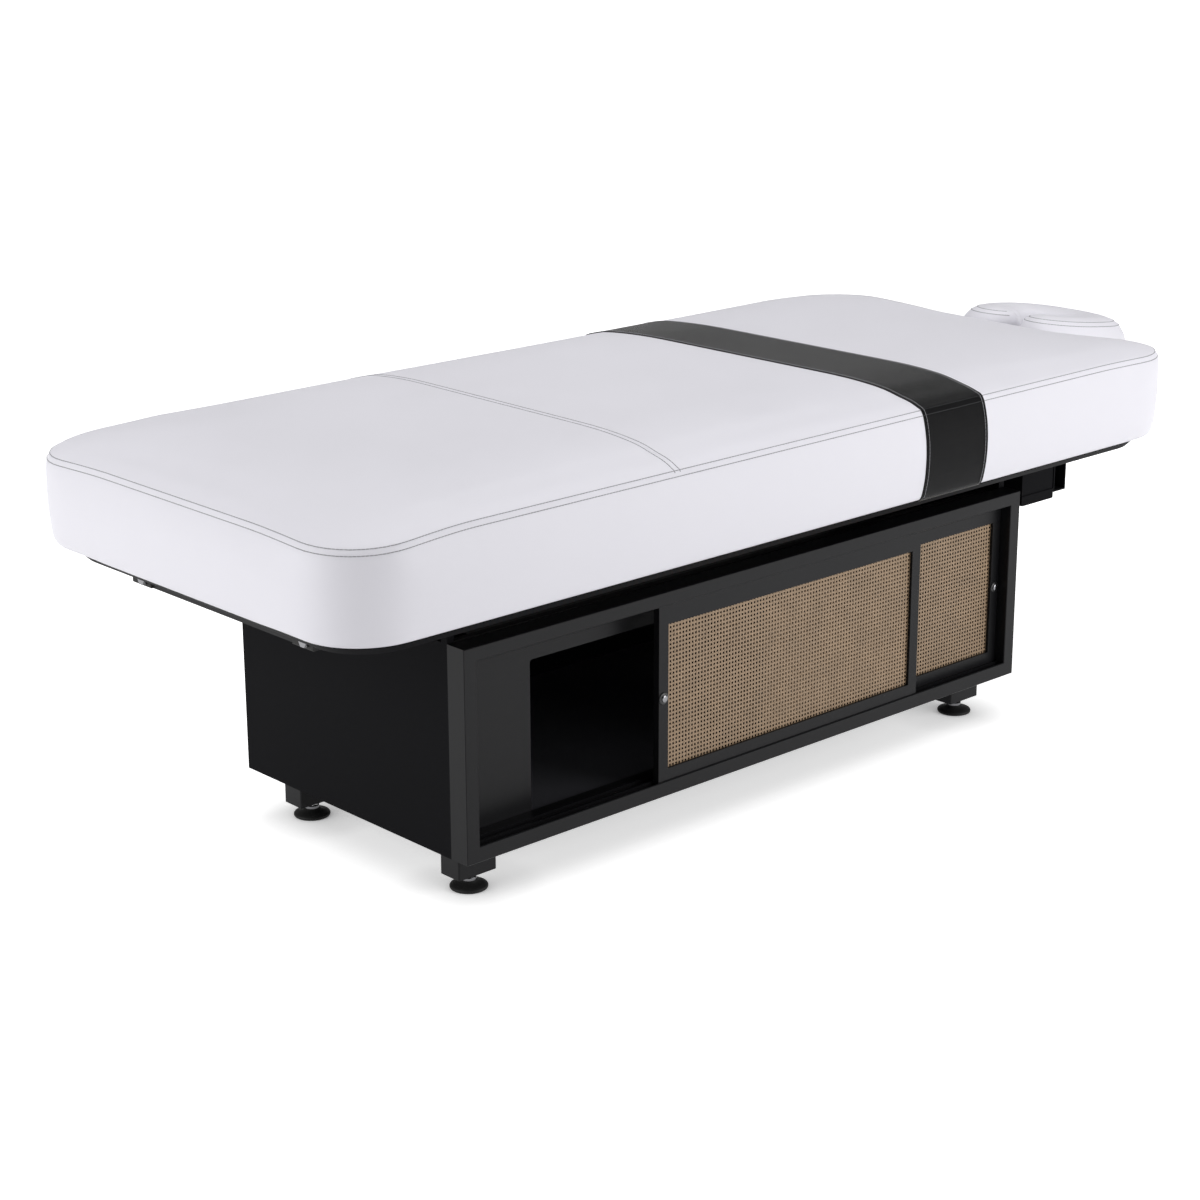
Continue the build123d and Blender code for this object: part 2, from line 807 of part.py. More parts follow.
with BuildPart() as lock_nuts:
    with BuildSketch(Plane.XY.offset(leg_low_z)):
        with Locations(*leg_places):
            RegularPolygon(nut_radius, 6)
            Circle(stud_radius + stud_gap, mode=Mode.SUBTRACT)
    extrude(amount=-nut_height)
lock_nuts.part.label = "lock_nuts"
export_step(lock_nuts.part, "parts/lock_nuts.step")


def foot_pad(place):
    """A round pad with a drawn-in top, flat on the floor."""
    with BuildSketch(Plane.XZ.offset(-place[1])) as profile:
        with BuildLine():
            low_edge = Line((place[0], 0), (place[0] + pad_radius, 0))
            rim = Line(low_edge @ 1, (place[0] + pad_radius, pad_height * 0.4))
            ThreePointArc(
                rim @ 1,
                (place[0] + pad_radius * 0.96, pad_height * 0.78),
                (place[0] + pad_top_radius, pad_height),
            )
            Polyline((place[0] + pad_top_radius, pad_height), (place[0], pad_height), (place[0], 0))
        make_face()
    revolve(profile.sketch, axis=Axis((place[0], place[1], 0), (0, 0, 1)))


def foot_stud(place):
    """A threaded stud on a round hub that stands on its pad."""
    with BuildSketch(Plane.XY.offset(pad_height)) as hub:
        with Locations(place):
            Circle(hub_radius)
    extrude(hub.sketch, amount=hub_height)
    with BuildSketch(Plane.XY.offset(pad_height + hub_height)) as shank:
        with Locations(place):
            Circle(stud_radius)
    extrude(shank.sketch, amount=stud_top - pad_height - hub_height)


with BuildPart() as foot_pad_1:
    foot_pad(leg_places[0])
foot_pad_1.part.label = "foot_pad_1"
export_step(foot_pad_1.part, "parts/foot_pad_1.step")

with BuildPart() as foot_stud_1:
    foot_stud(leg_places[0])
foot_stud_1.part.label = "foot_stud_1"
export_step(foot_stud_1.part, "parts/foot_stud_1.step")

with BuildPart() as foot_pad_2:
    foot_pad(leg_places[1])
foot_pad_2.part.label = "foot_pad_2"
export_step(foot_pad_2.part, "parts/foot_pad_2.step")

with BuildPart() as foot_stud_2:
    foot_stud(leg_places[1])
foot_stud_2.part.label = "foot_stud_2"
export_step(foot_stud_2.part, "parts/foot_stud_2.step")

with BuildPart() as foot_pad_3:
    foot_pad(leg_places[2])
foot_pad_3.part.label = "foot_pad_3"
export_step(foot_pad_3.part, "parts/foot_pad_3.step")

with BuildPart() as foot_stud_3:
    foot_stud(leg_places[2])
foot_stud_3.part.label = "foot_stud_3"
export_step(foot_stud_3.part, "parts/foot_stud_3.step")

with BuildPart() as foot_pad_4:
    foot_pad(leg_places[3])
foot_pad_4.part.label = "foot_pad_4"
export_step(foot_pad_4.part, "parts/foot_pad_4.step")

with BuildPart() as foot_stud_4:
    foot_stud(leg_places[3])
foot_stud_4.part.label = "foot_stud_4"
export_step(foot_stud_4.part, "parts/foot_stud_4.step")

# Head end: a sheet-metal housing closed by a tray, then an open-ended cross channel. Two
# sleeves run through both and guide the face rest's rods.
housing_low_x = mid_x + housing_start
housing_high_x = housing_low_x + housing_length
beam_low_x = housing_high_x + beam_gap
beam_high_x = beam_low_x + beam_length
sleeve_radius = rod_radius + running_gap + sleeve_wall
tray_gap = 0.2
beam_half_width = housing_width / 2 + fold
sleeve_low_x = mid_x + rod_start - sleeve_lead
knob_x = (beam_low_x + beam_high_x) / 2
rod_places = [(side * rod_spacing / 2, rod_height) for side in (-1, 1)]

with BuildPart() as control_housing:
    with BuildSketch(Plane.XY.offset(housing_bottom)):
        with Locations(((housing_low_x + housing_high_x) / 2, 0)):
            Rectangle(housing_length, housing_width)
    extrude(amount=deck_underside - housing_bottom)
    with BuildSketch(Plane.XY.offset(housing_bottom)):
        with Locations(((housing_low_x + housing_high_x) / 2, 0)):
            Rectangle(housing_length - 2 * sheet, housing_width - 2 * sheet)
    extrude(amount=deck_underside - housing_bottom - sheet, mode=Mode.SUBTRACT)
    with BuildSketch(Plane.YZ.offset(housing_low_x)):
        with Locations(*rod_places):
            Circle(sleeve_radius)
    extrude(amount=housing_length, mode=Mode.SUBTRACT)
control_housing.part.label = "control_housing"
export_step(control_housing.part, "parts/control_housing.step")

with BuildPart() as housing_tray:
    block(
        (housing_low_x - sheet, housing_high_x),
        (-housing_width / 2 - sheet, housing_width / 2 + sheet),
        (housing_bottom - tray_height, housing_bottom),
    )
    block(
        (housing_low_x + sheet, housing_high_x - 2 * sheet),
        (-housing_width / 2 + sheet, housing_width / 2 - sheet),
        (housing_bottom - tray_height + sheet, housing_bottom),
        mode=Mode.SUBTRACT,
    )
    tray_edges = housing_tray.edges().filter_by(Axis.Y).group_by(Axis.Z)[0]
    chamfer(tray_edges, sheet)
housing_tray.part.label = "housing_tray"
export_step(housing_tray.part, "parts/housing_tray.step")

with BuildPart() as end_channel:
    with BuildSketch(Plane.XZ.offset(beam_half_width)):
        with Locations(((beam_low_x + beam_high_x) / 2, (beam_bottom + deck_underside) / 2)):
            Rectangle(beam_length, deck_underside - beam_bottom)
            Rectangle(
                beam_length - 2 * beam_wall,
                deck_underside - beam_bottom - 2 * beam_wall,
                mode=Mode.SUBTRACT,
            )
    extrude(amount=-2 * beam_half_width)
    with BuildSketch(Plane.YZ.offset(beam_low_x)):
        with Locations(*rod_places):
            Circle(sleeve_radius)
    extrude(amount=beam_length, mode=Mode.SUBTRACT)
    with BuildSketch(Plane.XY.offset(beam_bottom)):
        with Locations((knob_x, rod_spacing / 2)):
            Circle(clamp_stud_radius + running_gap)
    extrude(amount=beam_wall, mode=Mode.SUBTRACT)
end_channel.part.label = "end_channel"
export_step(end_channel.part, "parts/end_channel.step")

with BuildPart() as receiver_sleeves:
    with BuildSketch(Plane.YZ.offset(sleeve_low_x)):
        with Locations(*rod_places):
            Circle(sleeve_radius)
            Circle(rod_radius + running_gap, mode=Mode.SUBTRACT)
    extrude(amount=beam_high_x - sleeve_low_x)
    with BuildSketch(Plane.XY.offset(rod_height - sleeve_radius)):
        with Locations((knob_x, rod_spacing / 2)):
            Circle(clamp_stud_radius + running_gap)
    extrude(amount=sleeve_radius, mode=Mode.SUBTRACT)
receiver_sleeves.part.label = "receiver_sleeves"
export_step(receiver_sleeves.part, "parts/receiver_sleeves.step")

# The inlet is a flanged socket on the housing's far side.
inlet_flange = 3
inlet_x = 50
inlet_z = 28
inlet_recess_x = 30
inlet_recess_z = 18
inlet_mid = ((housing_low_x + housing_high_x) / 2, (housing_bottom + deck_underside) / 2)

with BuildPart() as power_inlet:
    with BuildSketch(Plane.XZ.offset(-housing_width / 2)):
        with Locations(inlet_mid):
            RectangleRounded(inlet_x, inlet_z, inlet_flange)
            RectangleRounded(inlet_recess_x, inlet_recess_z, inlet_flange, mode=Mode.SUBTRACT)
    extrude(amount=-inlet_flange)
power_inlet.part.label = "power_inlet"
export_step(power_inlet.part, "parts/power_inlet.step")

# Face rest frame: two rods, a crossbar with two uprights, and the pivot pin
bar_depth = 25
bar_height = 24
bar_overhang = 20
upright_spacing = 114
upright_thickness = 6
upright_half_width = 9
pin_radius = 5
pin_head_radius = 8
pin_head_height = 3
bar_low_x = mid_x + rod_start + rod_length
pivot_x = mid_x + mattress_end + pivot_gap
bar_low_z = rod_height - bar_height / 2
pivot_height = bar_low_z + bar_height + upright_rise
upright_outer_y = upright_spacing / 2 + upright_thickness

with BuildPart() as face_rest_rods:
    with BuildSketch(Plane.YZ.offset(bar_low_x)):
        with Locations(*rod_places):
            Circle(rod_radius)
    extrude(amount=-rod_length)
    chamfer(face_rest_rods.faces().sort_by(Axis.X)[:2].edges(), rod_radius / 6)
face_rest_rods.part.label = "face_rest_rods"
export_step(face_rest_rods.part, "parts/face_rest_rods.step")

with BuildPart() as face_rest_bracket:
    block(
        (bar_low_x, bar_low_x + bar_depth),
        (-rod_spacing / 2 - bar_overhang, rod_spacing / 2 + bar_overhang),
        (bar_low_z, bar_low_z + bar_height),
    )
    for side in (-1, 1):
        with BuildSketch(Plane.XZ.offset(-side * upright_outer_y)):
            with BuildLine():
                Polyline(
                    (bar_low_x, bar_low_z),
                    (bar_low_x + bar_depth, bar_low_z),
                    (bar_low_x + bar_depth, bar_low_z + bar_height),
                    (pivot_x + upright_half_width, pivot_height),
                )
                ThreePointArc(
                    (pivot_x + upright_half_width, pivot_height),
                    (pivot_x, pivot_height + upright_half_width),
                    (pivot_x - upright_half_width, pivot_height),
                )
                Polyline(
                    (pivot_x - upright_half_width, pivot_height),
                    (bar_low_x, bar_low_z + bar_height),
                    (bar_low_x, bar_low_z),
                )
            make_face()
            with Locations((pivot_x, pivot_height)):
                Circle(pin_radius, mode=Mode.SUBTRACT)
        extrude(amount=side * upright_thickness)
face_rest_bracket.part.label = "face_rest_bracket"
export_step(face_rest_bracket.part, "parts/face_rest_bracket.step")

# The tilt lever turns on the pin's far end; the pin has a flat head at its near end.
lever_gap = 0.5
lever_hub_radius = 9
lever_thickness = 10
lever_length = 46
lever_arm_width = 10
lever_end_radius = 6
lever_seat = 7
lever_low_y = upright_outer_y + lever_gap
pin_far_y = lever_low_y + lever_seat

with BuildPart() as tilt_pivot_pin:
    with BuildSketch(Plane.XZ.offset(upright_outer_y)):
        with Locations((pivot_x, pivot_height)):
            Circle(pin_radius)
    extrude(amount=-(upright_outer_y + pin_far_y))
    with BuildSketch(Plane.XZ.offset(upright_outer_y)):
        with Locations((pivot_x, pivot_height)):
            Circle(pin_head_radius)
    extrude(amount=pin_head_height)
tilt_pivot_pin.part.label = "tilt_pivot_pin"
export_step(tilt_pivot_pin.part, "parts/tilt_pivot_pin.step")

with BuildPart() as tilt_lever:
    with BuildSketch(Plane.XZ.offset(-lever_low_y)):
        with Locations((pivot_x, pivot_height)):
            Circle(lever_hub_radius)
        with Locations((pivot_x, pivot_height - lever_length / 2)):
            Rectangle(lever_arm_width, lever_length)
        with Locations((pivot_x, pivot_height - lever_length)):
            Circle(lever_end_radius)
    extrude(amount=-lever_thickness)
    with BuildSketch(Plane.XZ.offset(-lever_low_y)):
        with Locations((pivot_x, pivot_height)):
            Circle(pin_radius + running_gap)
    extrude(amount=-(lever_seat + lever_gap), mode=Mode.SUBTRACT)
tilt_lever.part.label = "tilt_lever"
export_step(tilt_lever.part, "parts/tilt_lever.step")

# A star knob under the channel clamps one rod through its sleeve.
star_lobes = 5
star_lobe_radius = 7
star_height = 16
star_boss_radius = 9
star_boss_height = 6
knob_gap = 0.5
star_radius = beam_length / 2 + beam_gap - 2 * knob_gap
clamp_low_z = beam_bottom - knob_gap - star_boss_height
clamp_top_z = rod_height - rod_radius - running_gap

with BuildPart() as rod_clamp_knob:
    with BuildSketch(Plane.XY.offset(clamp_low_z)):
        with Locations((knob_x, rod_spacing / 2)):
            Circle(star_radius - star_lobe_radius)
            with PolarLocations(star_radius - star_lobe_radius, star_lobes):
                Circle(star_lobe_radius)
    extrude(amount=-star_height)
    with BuildSketch(Plane.XY.offset(clamp_low_z)):
        with Locations((knob_x, rod_spacing / 2)):
            Circle(star_boss_radius)
    extrude(amount=star_boss_height)
    with BuildSketch(Plane.XY.offset(clamp_low_z)):
        with Locations((knob_x, rod_spacing / 2)):
            Circle(clamp_stud_radius)
    extrude(amount=clamp_top_z - clamp_low_z)
rod_clamp_knob.part.label = "rod_clamp_knob"
export_step(rod_clamp_knob.part, "parts/rod_clamp_knob.step")

# Face rest cushion: a crescent with a crowned top and full sides. Its section turns about the
# crescent's centre, and a half turn at each end rounds it off. It slopes away from the mattress.
slope_cos = math.cos(math.radians(rest_tilt))
slope_sin = math.sin(math.radians(rest_tilt))
rest_belly = rest_seam_height / 2
belly_offset = rest_half_width - rest_side_radius
rest_foot_half = belly_offset + math.sqrt(rest_side_radius**2 - rest_belly**2)
rest_rim_x = (
    mid_x
    + mattress_end
    + head_extension
    - (rest_ring_radius + belly_offset) * slope_cos
    + (rest_seam_height - rest_belly) * slope_sin
    - rest_side_radius
)
rest_foot_x = rest_rim_x - rest_seam_height * slope_sin
pin_drop = plate + upright_half_width + pin_clearance
rest_foot_height = pivot_height + (pin_drop - (rest_foot_x - pivot_x) * slope_sin) / slope_cos
rest_origin = (rest_foot_x, 0, rest_foot_height)
rest_plane = Plane(
    origin=rest_origin, x_dir=(slope_cos, 0, -slope_sin), z_dir=(slope_sin, 0, slope_cos)
)
rest_up = Axis(rest_origin, (slope_sin, 0, slope_cos))
start_angle = rest_open_angle - 180
sweep_angle = 360 - 2 * rest_open_angle


def spoke_plane(angle, radius):
    """The upright plane along a spoke of the crescent, with its origin at that radius."""
    turn = math.radians(angle)
    spoke = rest_plane.x_dir * math.cos(turn) + rest_plane.y_dir * math.sin(turn)
    start = rest_plane.origin + spoke * radius
    return Plane(origin=start, x_dir=spoke, z_dir=spoke.cross(rest_plane.z_dir))


with BuildPart() as face_rest_cushion:
    with BuildSketch(spoke_plane(start_angle, rest_ring_radius)):
        with BuildLine():
            Line((-rest_foot_half, 0), (rest_foot_half, 0))
            ThreePointArc(
                (rest_foot_half, 0), (rest_half_width, rest_belly), (rest_foot_half, rest_seam_height)
            )
            ThreePointArc(
                (rest_foot_half, rest_seam_height),
                (0, rest_seam_height + rest_crown),
                (-rest_foot_half, rest_seam_height),
            )
            ThreePointArc(
                (-rest_foot_half, rest_seam_height), (-rest_half_width, rest_belly), (-rest_foot_half, 0)
            )
        make_face()
    revolve(axis=rest_up, revolution_arc=sweep_angle)
    for end_angle, turn in ((start_angle, -180), (start_angle + sweep_angle, 180)):
        end_plane = spoke_plane(end_angle, rest_ring_radius)
        with BuildSketch(end_plane):
            with BuildLine():
                Line((0, 0), (rest_foot_half, 0))
                ThreePointArc(
                    (rest_foot_half, 0),
                    (rest_half_width, rest_belly),
                    (rest_foot_half, rest_seam_height),
                )
                crown_radius = (rest_foot_half**2 + rest_crown**2) / (2 * rest_crown)
                half_reach = rest_foot_half / 2
                crown_rise = math.sqrt(crown_radius**2 - half_reach**2) - crown_radius
                ThreePointArc(
                    (rest_foot_half, rest_seam_height),
                    (half_reach, rest_seam_height + rest_crown + crown_rise),
                    (0, rest_seam_height + rest_crown),
                )
                Line((0, rest_seam_height + rest_crown), (0, 0))
            make_face()
        revolve(axis=Axis(end_plane.origin, rest_plane.z_dir), revolution_arc=turn)
face_rest_cushion.part.label = "face_rest_cushion"
export_step(face_rest_cushion.part, "parts/face_rest_cushion.step")

# The platform follows the crescent and hangs on the pin by two ears.
ear_thickness = 6
ear_half_width = 10
ear_gap = 2
pin_local_x = (pivot_x - rest_origin[0]) * slope_cos - (pivot_height - rest_origin[2]) * slope_sin
pin_local_z = (pivot_x - rest_origin[0]) * slope_sin + (pivot_height - rest_origin[2]) * slope_cos
ear_outer_y = upright_spacing / 2 - ear_gap

with BuildPart() as face_rest_platform:
    with BuildSketch(rest_plane):
        with BuildLine() as crescent:
            CenterArc((0, 0), rest_ring_radius, start_angle, sweep_angle)
        SlotArc(crescent.wires()[0], 2 * platform_half_width)
    extrude(amount=-plate)
    for side in (-1, 1):
        ear_plane = Plane(
            origin=(rest_origin[0], side * ear_outer_y, rest_origin[2]),
            x_dir=rest_plane.x_dir,
            z_dir=(0, -1, 0),
        )
        with BuildSketch(ear_plane):
            with Locations((pin_local_x, pin_local_z / 2 - plate / 2)):
                Rectangle(2 * ear_half_width, -pin_local_z - plate)
            with Locations((pin_local_x, pin_local_z)):
                Circle(ear_half_width)
                Circle(pin_radius + running_gap, mode=Mode.SUBTRACT)
        extrude(amount=side * ear_thickness)
face_rest_platform.part.label = "face_rest_platform"
export_step(face_rest_platform.part, "parts/face_rest_platform.step")
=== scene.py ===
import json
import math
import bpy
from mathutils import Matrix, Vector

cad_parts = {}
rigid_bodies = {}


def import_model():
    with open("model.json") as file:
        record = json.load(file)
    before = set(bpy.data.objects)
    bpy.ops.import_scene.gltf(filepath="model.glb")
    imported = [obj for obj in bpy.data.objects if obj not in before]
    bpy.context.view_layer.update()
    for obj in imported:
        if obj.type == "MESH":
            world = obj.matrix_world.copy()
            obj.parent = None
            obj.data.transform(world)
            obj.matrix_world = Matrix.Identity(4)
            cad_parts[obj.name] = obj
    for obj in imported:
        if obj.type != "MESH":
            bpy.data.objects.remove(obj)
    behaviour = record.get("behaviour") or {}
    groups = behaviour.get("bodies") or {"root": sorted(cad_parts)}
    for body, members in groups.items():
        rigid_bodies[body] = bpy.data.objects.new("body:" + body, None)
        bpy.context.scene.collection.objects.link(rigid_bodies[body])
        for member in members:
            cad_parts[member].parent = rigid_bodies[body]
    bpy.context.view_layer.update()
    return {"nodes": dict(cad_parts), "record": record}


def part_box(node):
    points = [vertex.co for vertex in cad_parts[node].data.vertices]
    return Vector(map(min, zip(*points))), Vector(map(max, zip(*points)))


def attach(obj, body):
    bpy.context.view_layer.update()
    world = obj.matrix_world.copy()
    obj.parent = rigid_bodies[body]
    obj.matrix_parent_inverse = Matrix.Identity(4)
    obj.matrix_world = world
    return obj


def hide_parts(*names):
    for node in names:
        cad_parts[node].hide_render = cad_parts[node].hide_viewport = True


bl_info = {
    "name": "Spa Treatment Table",
    "version": (1, 0, 0),
    "blender": (4, 5, 0),
    "location": "View3D > Sidebar > Treatment Table",
    "description": "Upholstery, cane doors, hardware and finishes for a lifting spa treatment table",
    "category": "Object",
}

import bmesh
import bpy
from mathutils import Matrix, Vector

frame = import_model()
nodes = frame["nodes"]

foot_low, foot_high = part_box("cushion_foot_section")
band_low, band_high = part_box("cushion_band")
head_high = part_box("cushion_head_section")[1]
MATTRESS_MIDDLE = (foot_low.x + head_high.x) / 2
MATTRESS_BOTTOM = foot_low.z
HALF_LENGTH = (head_high.x - foot_low.x) / 2
HALF_WIDTH = (foot_high.y - foot_low.y) / 2


class MattressSizes(bpy.types.PropertyGroup):
    """Sizes of the upholstered mattress and its seams."""

    fullness: bpy.props.FloatProperty(
        name="Fullness",
        description="How far the filling may push the cover out",
        default=0.002, unit="LENGTH",
    )
    corner: bpy.props.FloatProperty(
        name="Corner radius",
        description="Radius of the corners in plan, at the widest level",
        default=0.112, unit="LENGTH",
    )
    crown: bpy.props.FloatProperty(
        name="Crown",
        description="Rise of the top from the shoulder to the middle",
        default=0.0125, unit="LENGTH",
    )
    cross_seam: bpy.props.FloatProperty(
        name="Cross seam",
        description="Distance of the cross seam from the middle, towards the foot end",
        default=0.310, unit="LENGTH",
    )
    corner_dip: bpy.props.FloatProperty(
        name="Corner dip",
        description="How far the seam drops at the corners",
        default=0.008, unit="LENGTH",
    )
    head_dip: bpy.props.FloatProperty(
        name="Head dip",
        description="How far the top falls at the middle of the head end",
        default=0.013, unit="LENGTH",
    )
    head_fall: bpy.props.FloatProperty(
        name="Head fall",
        description="How much lower the top is at the head end than at the cross seam",
        default=0.018, unit="LENGTH",
    )
    stitch_pitch: bpy.props.FloatProperty(
        name="Stitch pitch",
        description="Length of one stitch with its gap",
        default=0.0058, unit="LENGTH",
    )
    thread: bpy.props.FloatProperty(
        name="Thread",
        description="Radius of the sewing thread",
        default=0.0007, unit="LENGTH",
    )


class FaceRestSizes(bpy.types.PropertyGroup):
    """Sizes of the face rest cushion and its seams."""

    fullness: bpy.props.FloatProperty(
        name="Fullness",
        description="How far the filling may push the cover out",
        default=0.009, unit="LENGTH",
    )
    squareness: bpy.props.FloatProperty(
        name="Squareness",
        description="How square the outline is, from 2 for round",
        default=2.6,
    )
    lower_seam: bpy.props.FloatProperty(
        name="Lower seam",
        description="Height of the lower row of stitches above the base",
        default=0.057, unit="LENGTH",
    )
    upper_seam: bpy.props.FloatProperty(
        name="Upper seam",
        description="Height of the upper row of stitches above the base",
        default=0.0635, unit="LENGTH",
    )


class CaneSizes(bpy.types.PropertyGroup):
    """Sizes of the woven cane panels."""

    pitch: bpy.props.FloatProperty(
        name="Pitch",
        description="Distance between neighbouring strands",
        default=0.007, unit="LENGTH",
    )
    strand: bpy.props.FloatProperty(
        name="Strand width",
        description="Width of one strand",
        default=0.0034, unit="LENGTH",
    )
    thickness: bpy.props.FloatProperty(
        name="Strand thickness",
        description="Thickness of one strand",
        default=0.0005, unit="LENGTH",
    )


class FinishColours(bpy.types.PropertyGroup):
    """Colours of the table's finishes."""

    upholstery: bpy.props.FloatVectorProperty(
        name="Upholstery",
        description="Pale upholstery of the mattress and the face rest",
        default=(0.80, 0.79, 0.845),
        size=3, min=0, max=1, subtype="COLOR",
    )
    band: bpy.props.FloatVectorProperty(
        name="Band",
        description="Dark leather band",
        default=(0.004, 0.004, 0.0045),
        size=3, min=0, max=1, subtype="COLOR",
    )
    lacquer: bpy.props.FloatVectorProperty(
        name="Lacquer",
        description="Dark lacquer of the cabinet and the deck",
        default=(0.0075, 0.0075, 0.0085),
        size=3, min=0, max=1, subtype="COLOR",
    )
    cane: bpy.props.FloatVectorProperty(
        name="Cane",
        description="Natural cane of the door panels",
        default=(0.30, 0.205, 0.125),
        size=3, min=0, max=1, subtype="COLOR",
    )


def deselect():
    """Leave edit mode and select nothing."""
    if bpy.context.object and bpy.context.object.mode != "OBJECT":
        bpy.ops.object.mode_set(mode="OBJECT")
    bpy.ops.object.select_all(action="DESELECT")


def choose(piece):
    """Make one piece the only selected and active one."""
    deselect()
    piece.select_set(True)
    bpy.context.view_layer.objects.active = piece


def edit(piece, mode="FACE", choice="DESELECT"):
    """Enter edit mode on a piece with nothing selected, or with everything."""
    choose(piece)
    bpy.ops.object.mode_set(mode="EDIT")
    bpy.ops.mesh.select_mode(type=mode)
    bpy.ops.mesh.select_all(action=choice)


def pick(piece, kind, test):
    """Select the vertices, edges or faces that pass a test, and say how many there are."""
    mesh = bmesh.from_edit_mesh(piece.data)
    bpy.ops.mesh.select_all(action="DESELECT")
    found = [part for part in getattr(mesh, kind) if test(part)]
    for part in found:
        part.select = True
    mesh.select_flush_mode()
    bmesh.update_edit_mesh(piece.data)
    return len(found)


def middle_of(edge):
    """The point halfway along an edge."""
    return (edge.verts[0].co + edge.verts[1].co) / 2


def place(piece):
    """Put a piece's place, turn and scale into its mesh."""
    choose(piece)
    bpy.ops.object.transform_apply(location=True, rotation=True, scale=True)


def apply_modifier(piece, kind, **values):
    """Add a modifier, set its values and apply it."""
    choose(piece)
    modifier = piece.modifiers.new(kind.title(), kind)
    for name, value in values.items():
        setattr(modifier, name, value)
    bpy.ops.object.modifier_apply(modifier=modifier.name)


def repeat(piece, count, step):
    """Repeat a piece in a row, at an even step."""
    apply_modifier(
        piece, "ARRAY", fit_type="FIXED_COUNT", count=count, use_relative_offset=False,
        use_constant_offset=True, constant_offset_displace=step,
    )


def weld():
    """Merge the doubles of the mesh in edit mode and turn its faces outwards."""
    bpy.ops.mesh.select_all(action="SELECT")
    bpy.ops.mesh.remove_doubles(threshold=0.00002)
    bpy.ops.mesh.normals_make_consistent(inside=False)


def take_selected():
    """Copy the part that is selected in edit mode to a piece of its own."""
    before = set(bpy.data.objects)
    bpy.ops.mesh.duplicate()
    bpy.ops.mesh.separate(type="SELECTED")
    bpy.ops.object.mode_set(mode="OBJECT")
    return (set(bpy.data.objects) - before).pop()


def new_object(name, data):
    """Put new data into the scene as an object."""
    made = bpy.data.objects.new(name, data)
    bpy.context.scene.collection.objects.link(made)
    return made


def join(pieces):
    """Join several pieces into the first."""
    choose(pieces[0])
    for piece in pieces:
        piece.select_set(True)
    bpy.ops.object.join()
    return pieces[0]


def finish_piece(piece, name, body, slot, finish=None, angle=60):
    """Name a finished piece, give it its material and let it ride on its body."""
    place(piece)
    bpy.ops.object.shade_smooth_by_angle(angle=math.radians(angle))
    piece.name = name
    piece.data.name = name
    piece.data.materials.clear()
    piece.data.materials.append(MATERIALS[finish or slot])
    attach(piece, body)


def group_of(name, values, results):
    """An empty shader node group: a Vector and named values in, other values out."""
    group = bpy.data.node_groups.new(name, "ShaderNodeTree")
    group.interface.new_socket(name="Vector", in_out="INPUT", socket_type="NodeSocketVector")
    for label, value in values.items():
        socket = group.interface.new_socket(name=label, in_out="INPUT", socket_type="NodeSocketFloat")
        socket.default_value = value
    for label in results:
        group.interface.new_socket(name=label, in_out="OUTPUT", socket_type="NodeSocketFloat")
    start = group.nodes.new("NodeGroupInput")
    end = group.nodes.new("NodeGroupOutput")
    return group, start.outputs, end.inputs


def add_node(tree, kind, links=(), **values):
    """A node with its values set and its inputs linked or filled."""
    node = tree.nodes.new(kind)
    for name, value in values.items():
        setattr(node, name, value)
    for socket, source in links:
        if hasattr(source, "is_output"):
            tree.links.new(source, node.inputs[socket])
        else:
            node.inputs[socket].default_value = source
    return node


def calculate(tree, operation, *values):
    """The result of a maths node."""
    return add_node(tree, "ShaderNodeMath", enumerate(values), operation=operation).outputs[0]


def noise(tree, vector, scale, detail, roughness=0.5):
    """The value of a noise pattern."""
    links = [("Vector", vector), ("Scale", scale), ("Detail", detail), ("Roughness", roughness)]
    return add_node(tree, "ShaderNodeTexNoise", links).outputs["Fac"]


def remap(tree, value, old, new):
    """A value carried over from one range to another."""
    links = [("Value", value), ("From Min", old[0]), ("From Max", old[1])]
    links += [("To Min", new[0]), ("To Max", new[1])]
    return add_node(tree, "ShaderNodeMapRange", links).outputs["Result"]


def leather_group():
    """Pebbled grain with fine pores and broad tone, for upholstery."""
    values = {"Scale": 900, "Tone": 0.04}
    group, given, result = group_of("Leather Grain", values, ("Height", "Shade", "Roughness"))
    vector = given["Vector"]
    cells = add_node(
        group,
        "ShaderNodeTexVoronoi",
        [("Vector", vector), ("Scale", given["Scale"]), ("Randomness", 0.9)],
        feature="DISTANCE_TO_EDGE",
    )
    creases = remap(group, cells.outputs["Distance"], (0, 0.28), (0, 1))
    pores = noise(group, vector, scale=2400, detail=3.0)
    broad = noise(group, vector, scale=5.0, detail=4.0, roughness=0.6)
    centred = calculate(group, "SUBTRACT", broad, 0.5)
    group.links.new(calculate(group, "MULTIPLY_ADD", pores, 0.35, creases), result["Height"])
    group.links.new(calculate(group, "MULTIPLY_ADD", centred, given["Tone"], 1.0), result["Shade"])
    group.links.new(remap(group, broad, (0.3, 0.7), (-0.05, 0.05)), result["Roughness"])
    return group


def surface_group():
    """Faint smudges and a fine texture, for lacquer, coated metal and plastic."""
    values = {"Grain Scale": 700, "Smudge Scale": 6.0, "Smudge": 0.08}
    group, given, result = group_of("Handled Surface", values, ("Height", "Roughness", "Shade"))
    grain = noise(group, given["Vector"], given["Grain Scale"], detail=2.0)
    cloud = noise(group, given["Vector"], given["Smudge Scale"], detail=5.0, roughness=0.62)
    centred = calculate(group, "SUBTRACT", cloud, 0.5)
    group.links.new(grain, result["Height"])
    group.links.new(calculate(group, "MULTIPLY", centred, given["Smudge"]), result["Roughness"])
    group.links.new(calculate(group, "MULTIPLY_ADD", centred, 0.25, 1.0), result["Shade"])
    return group


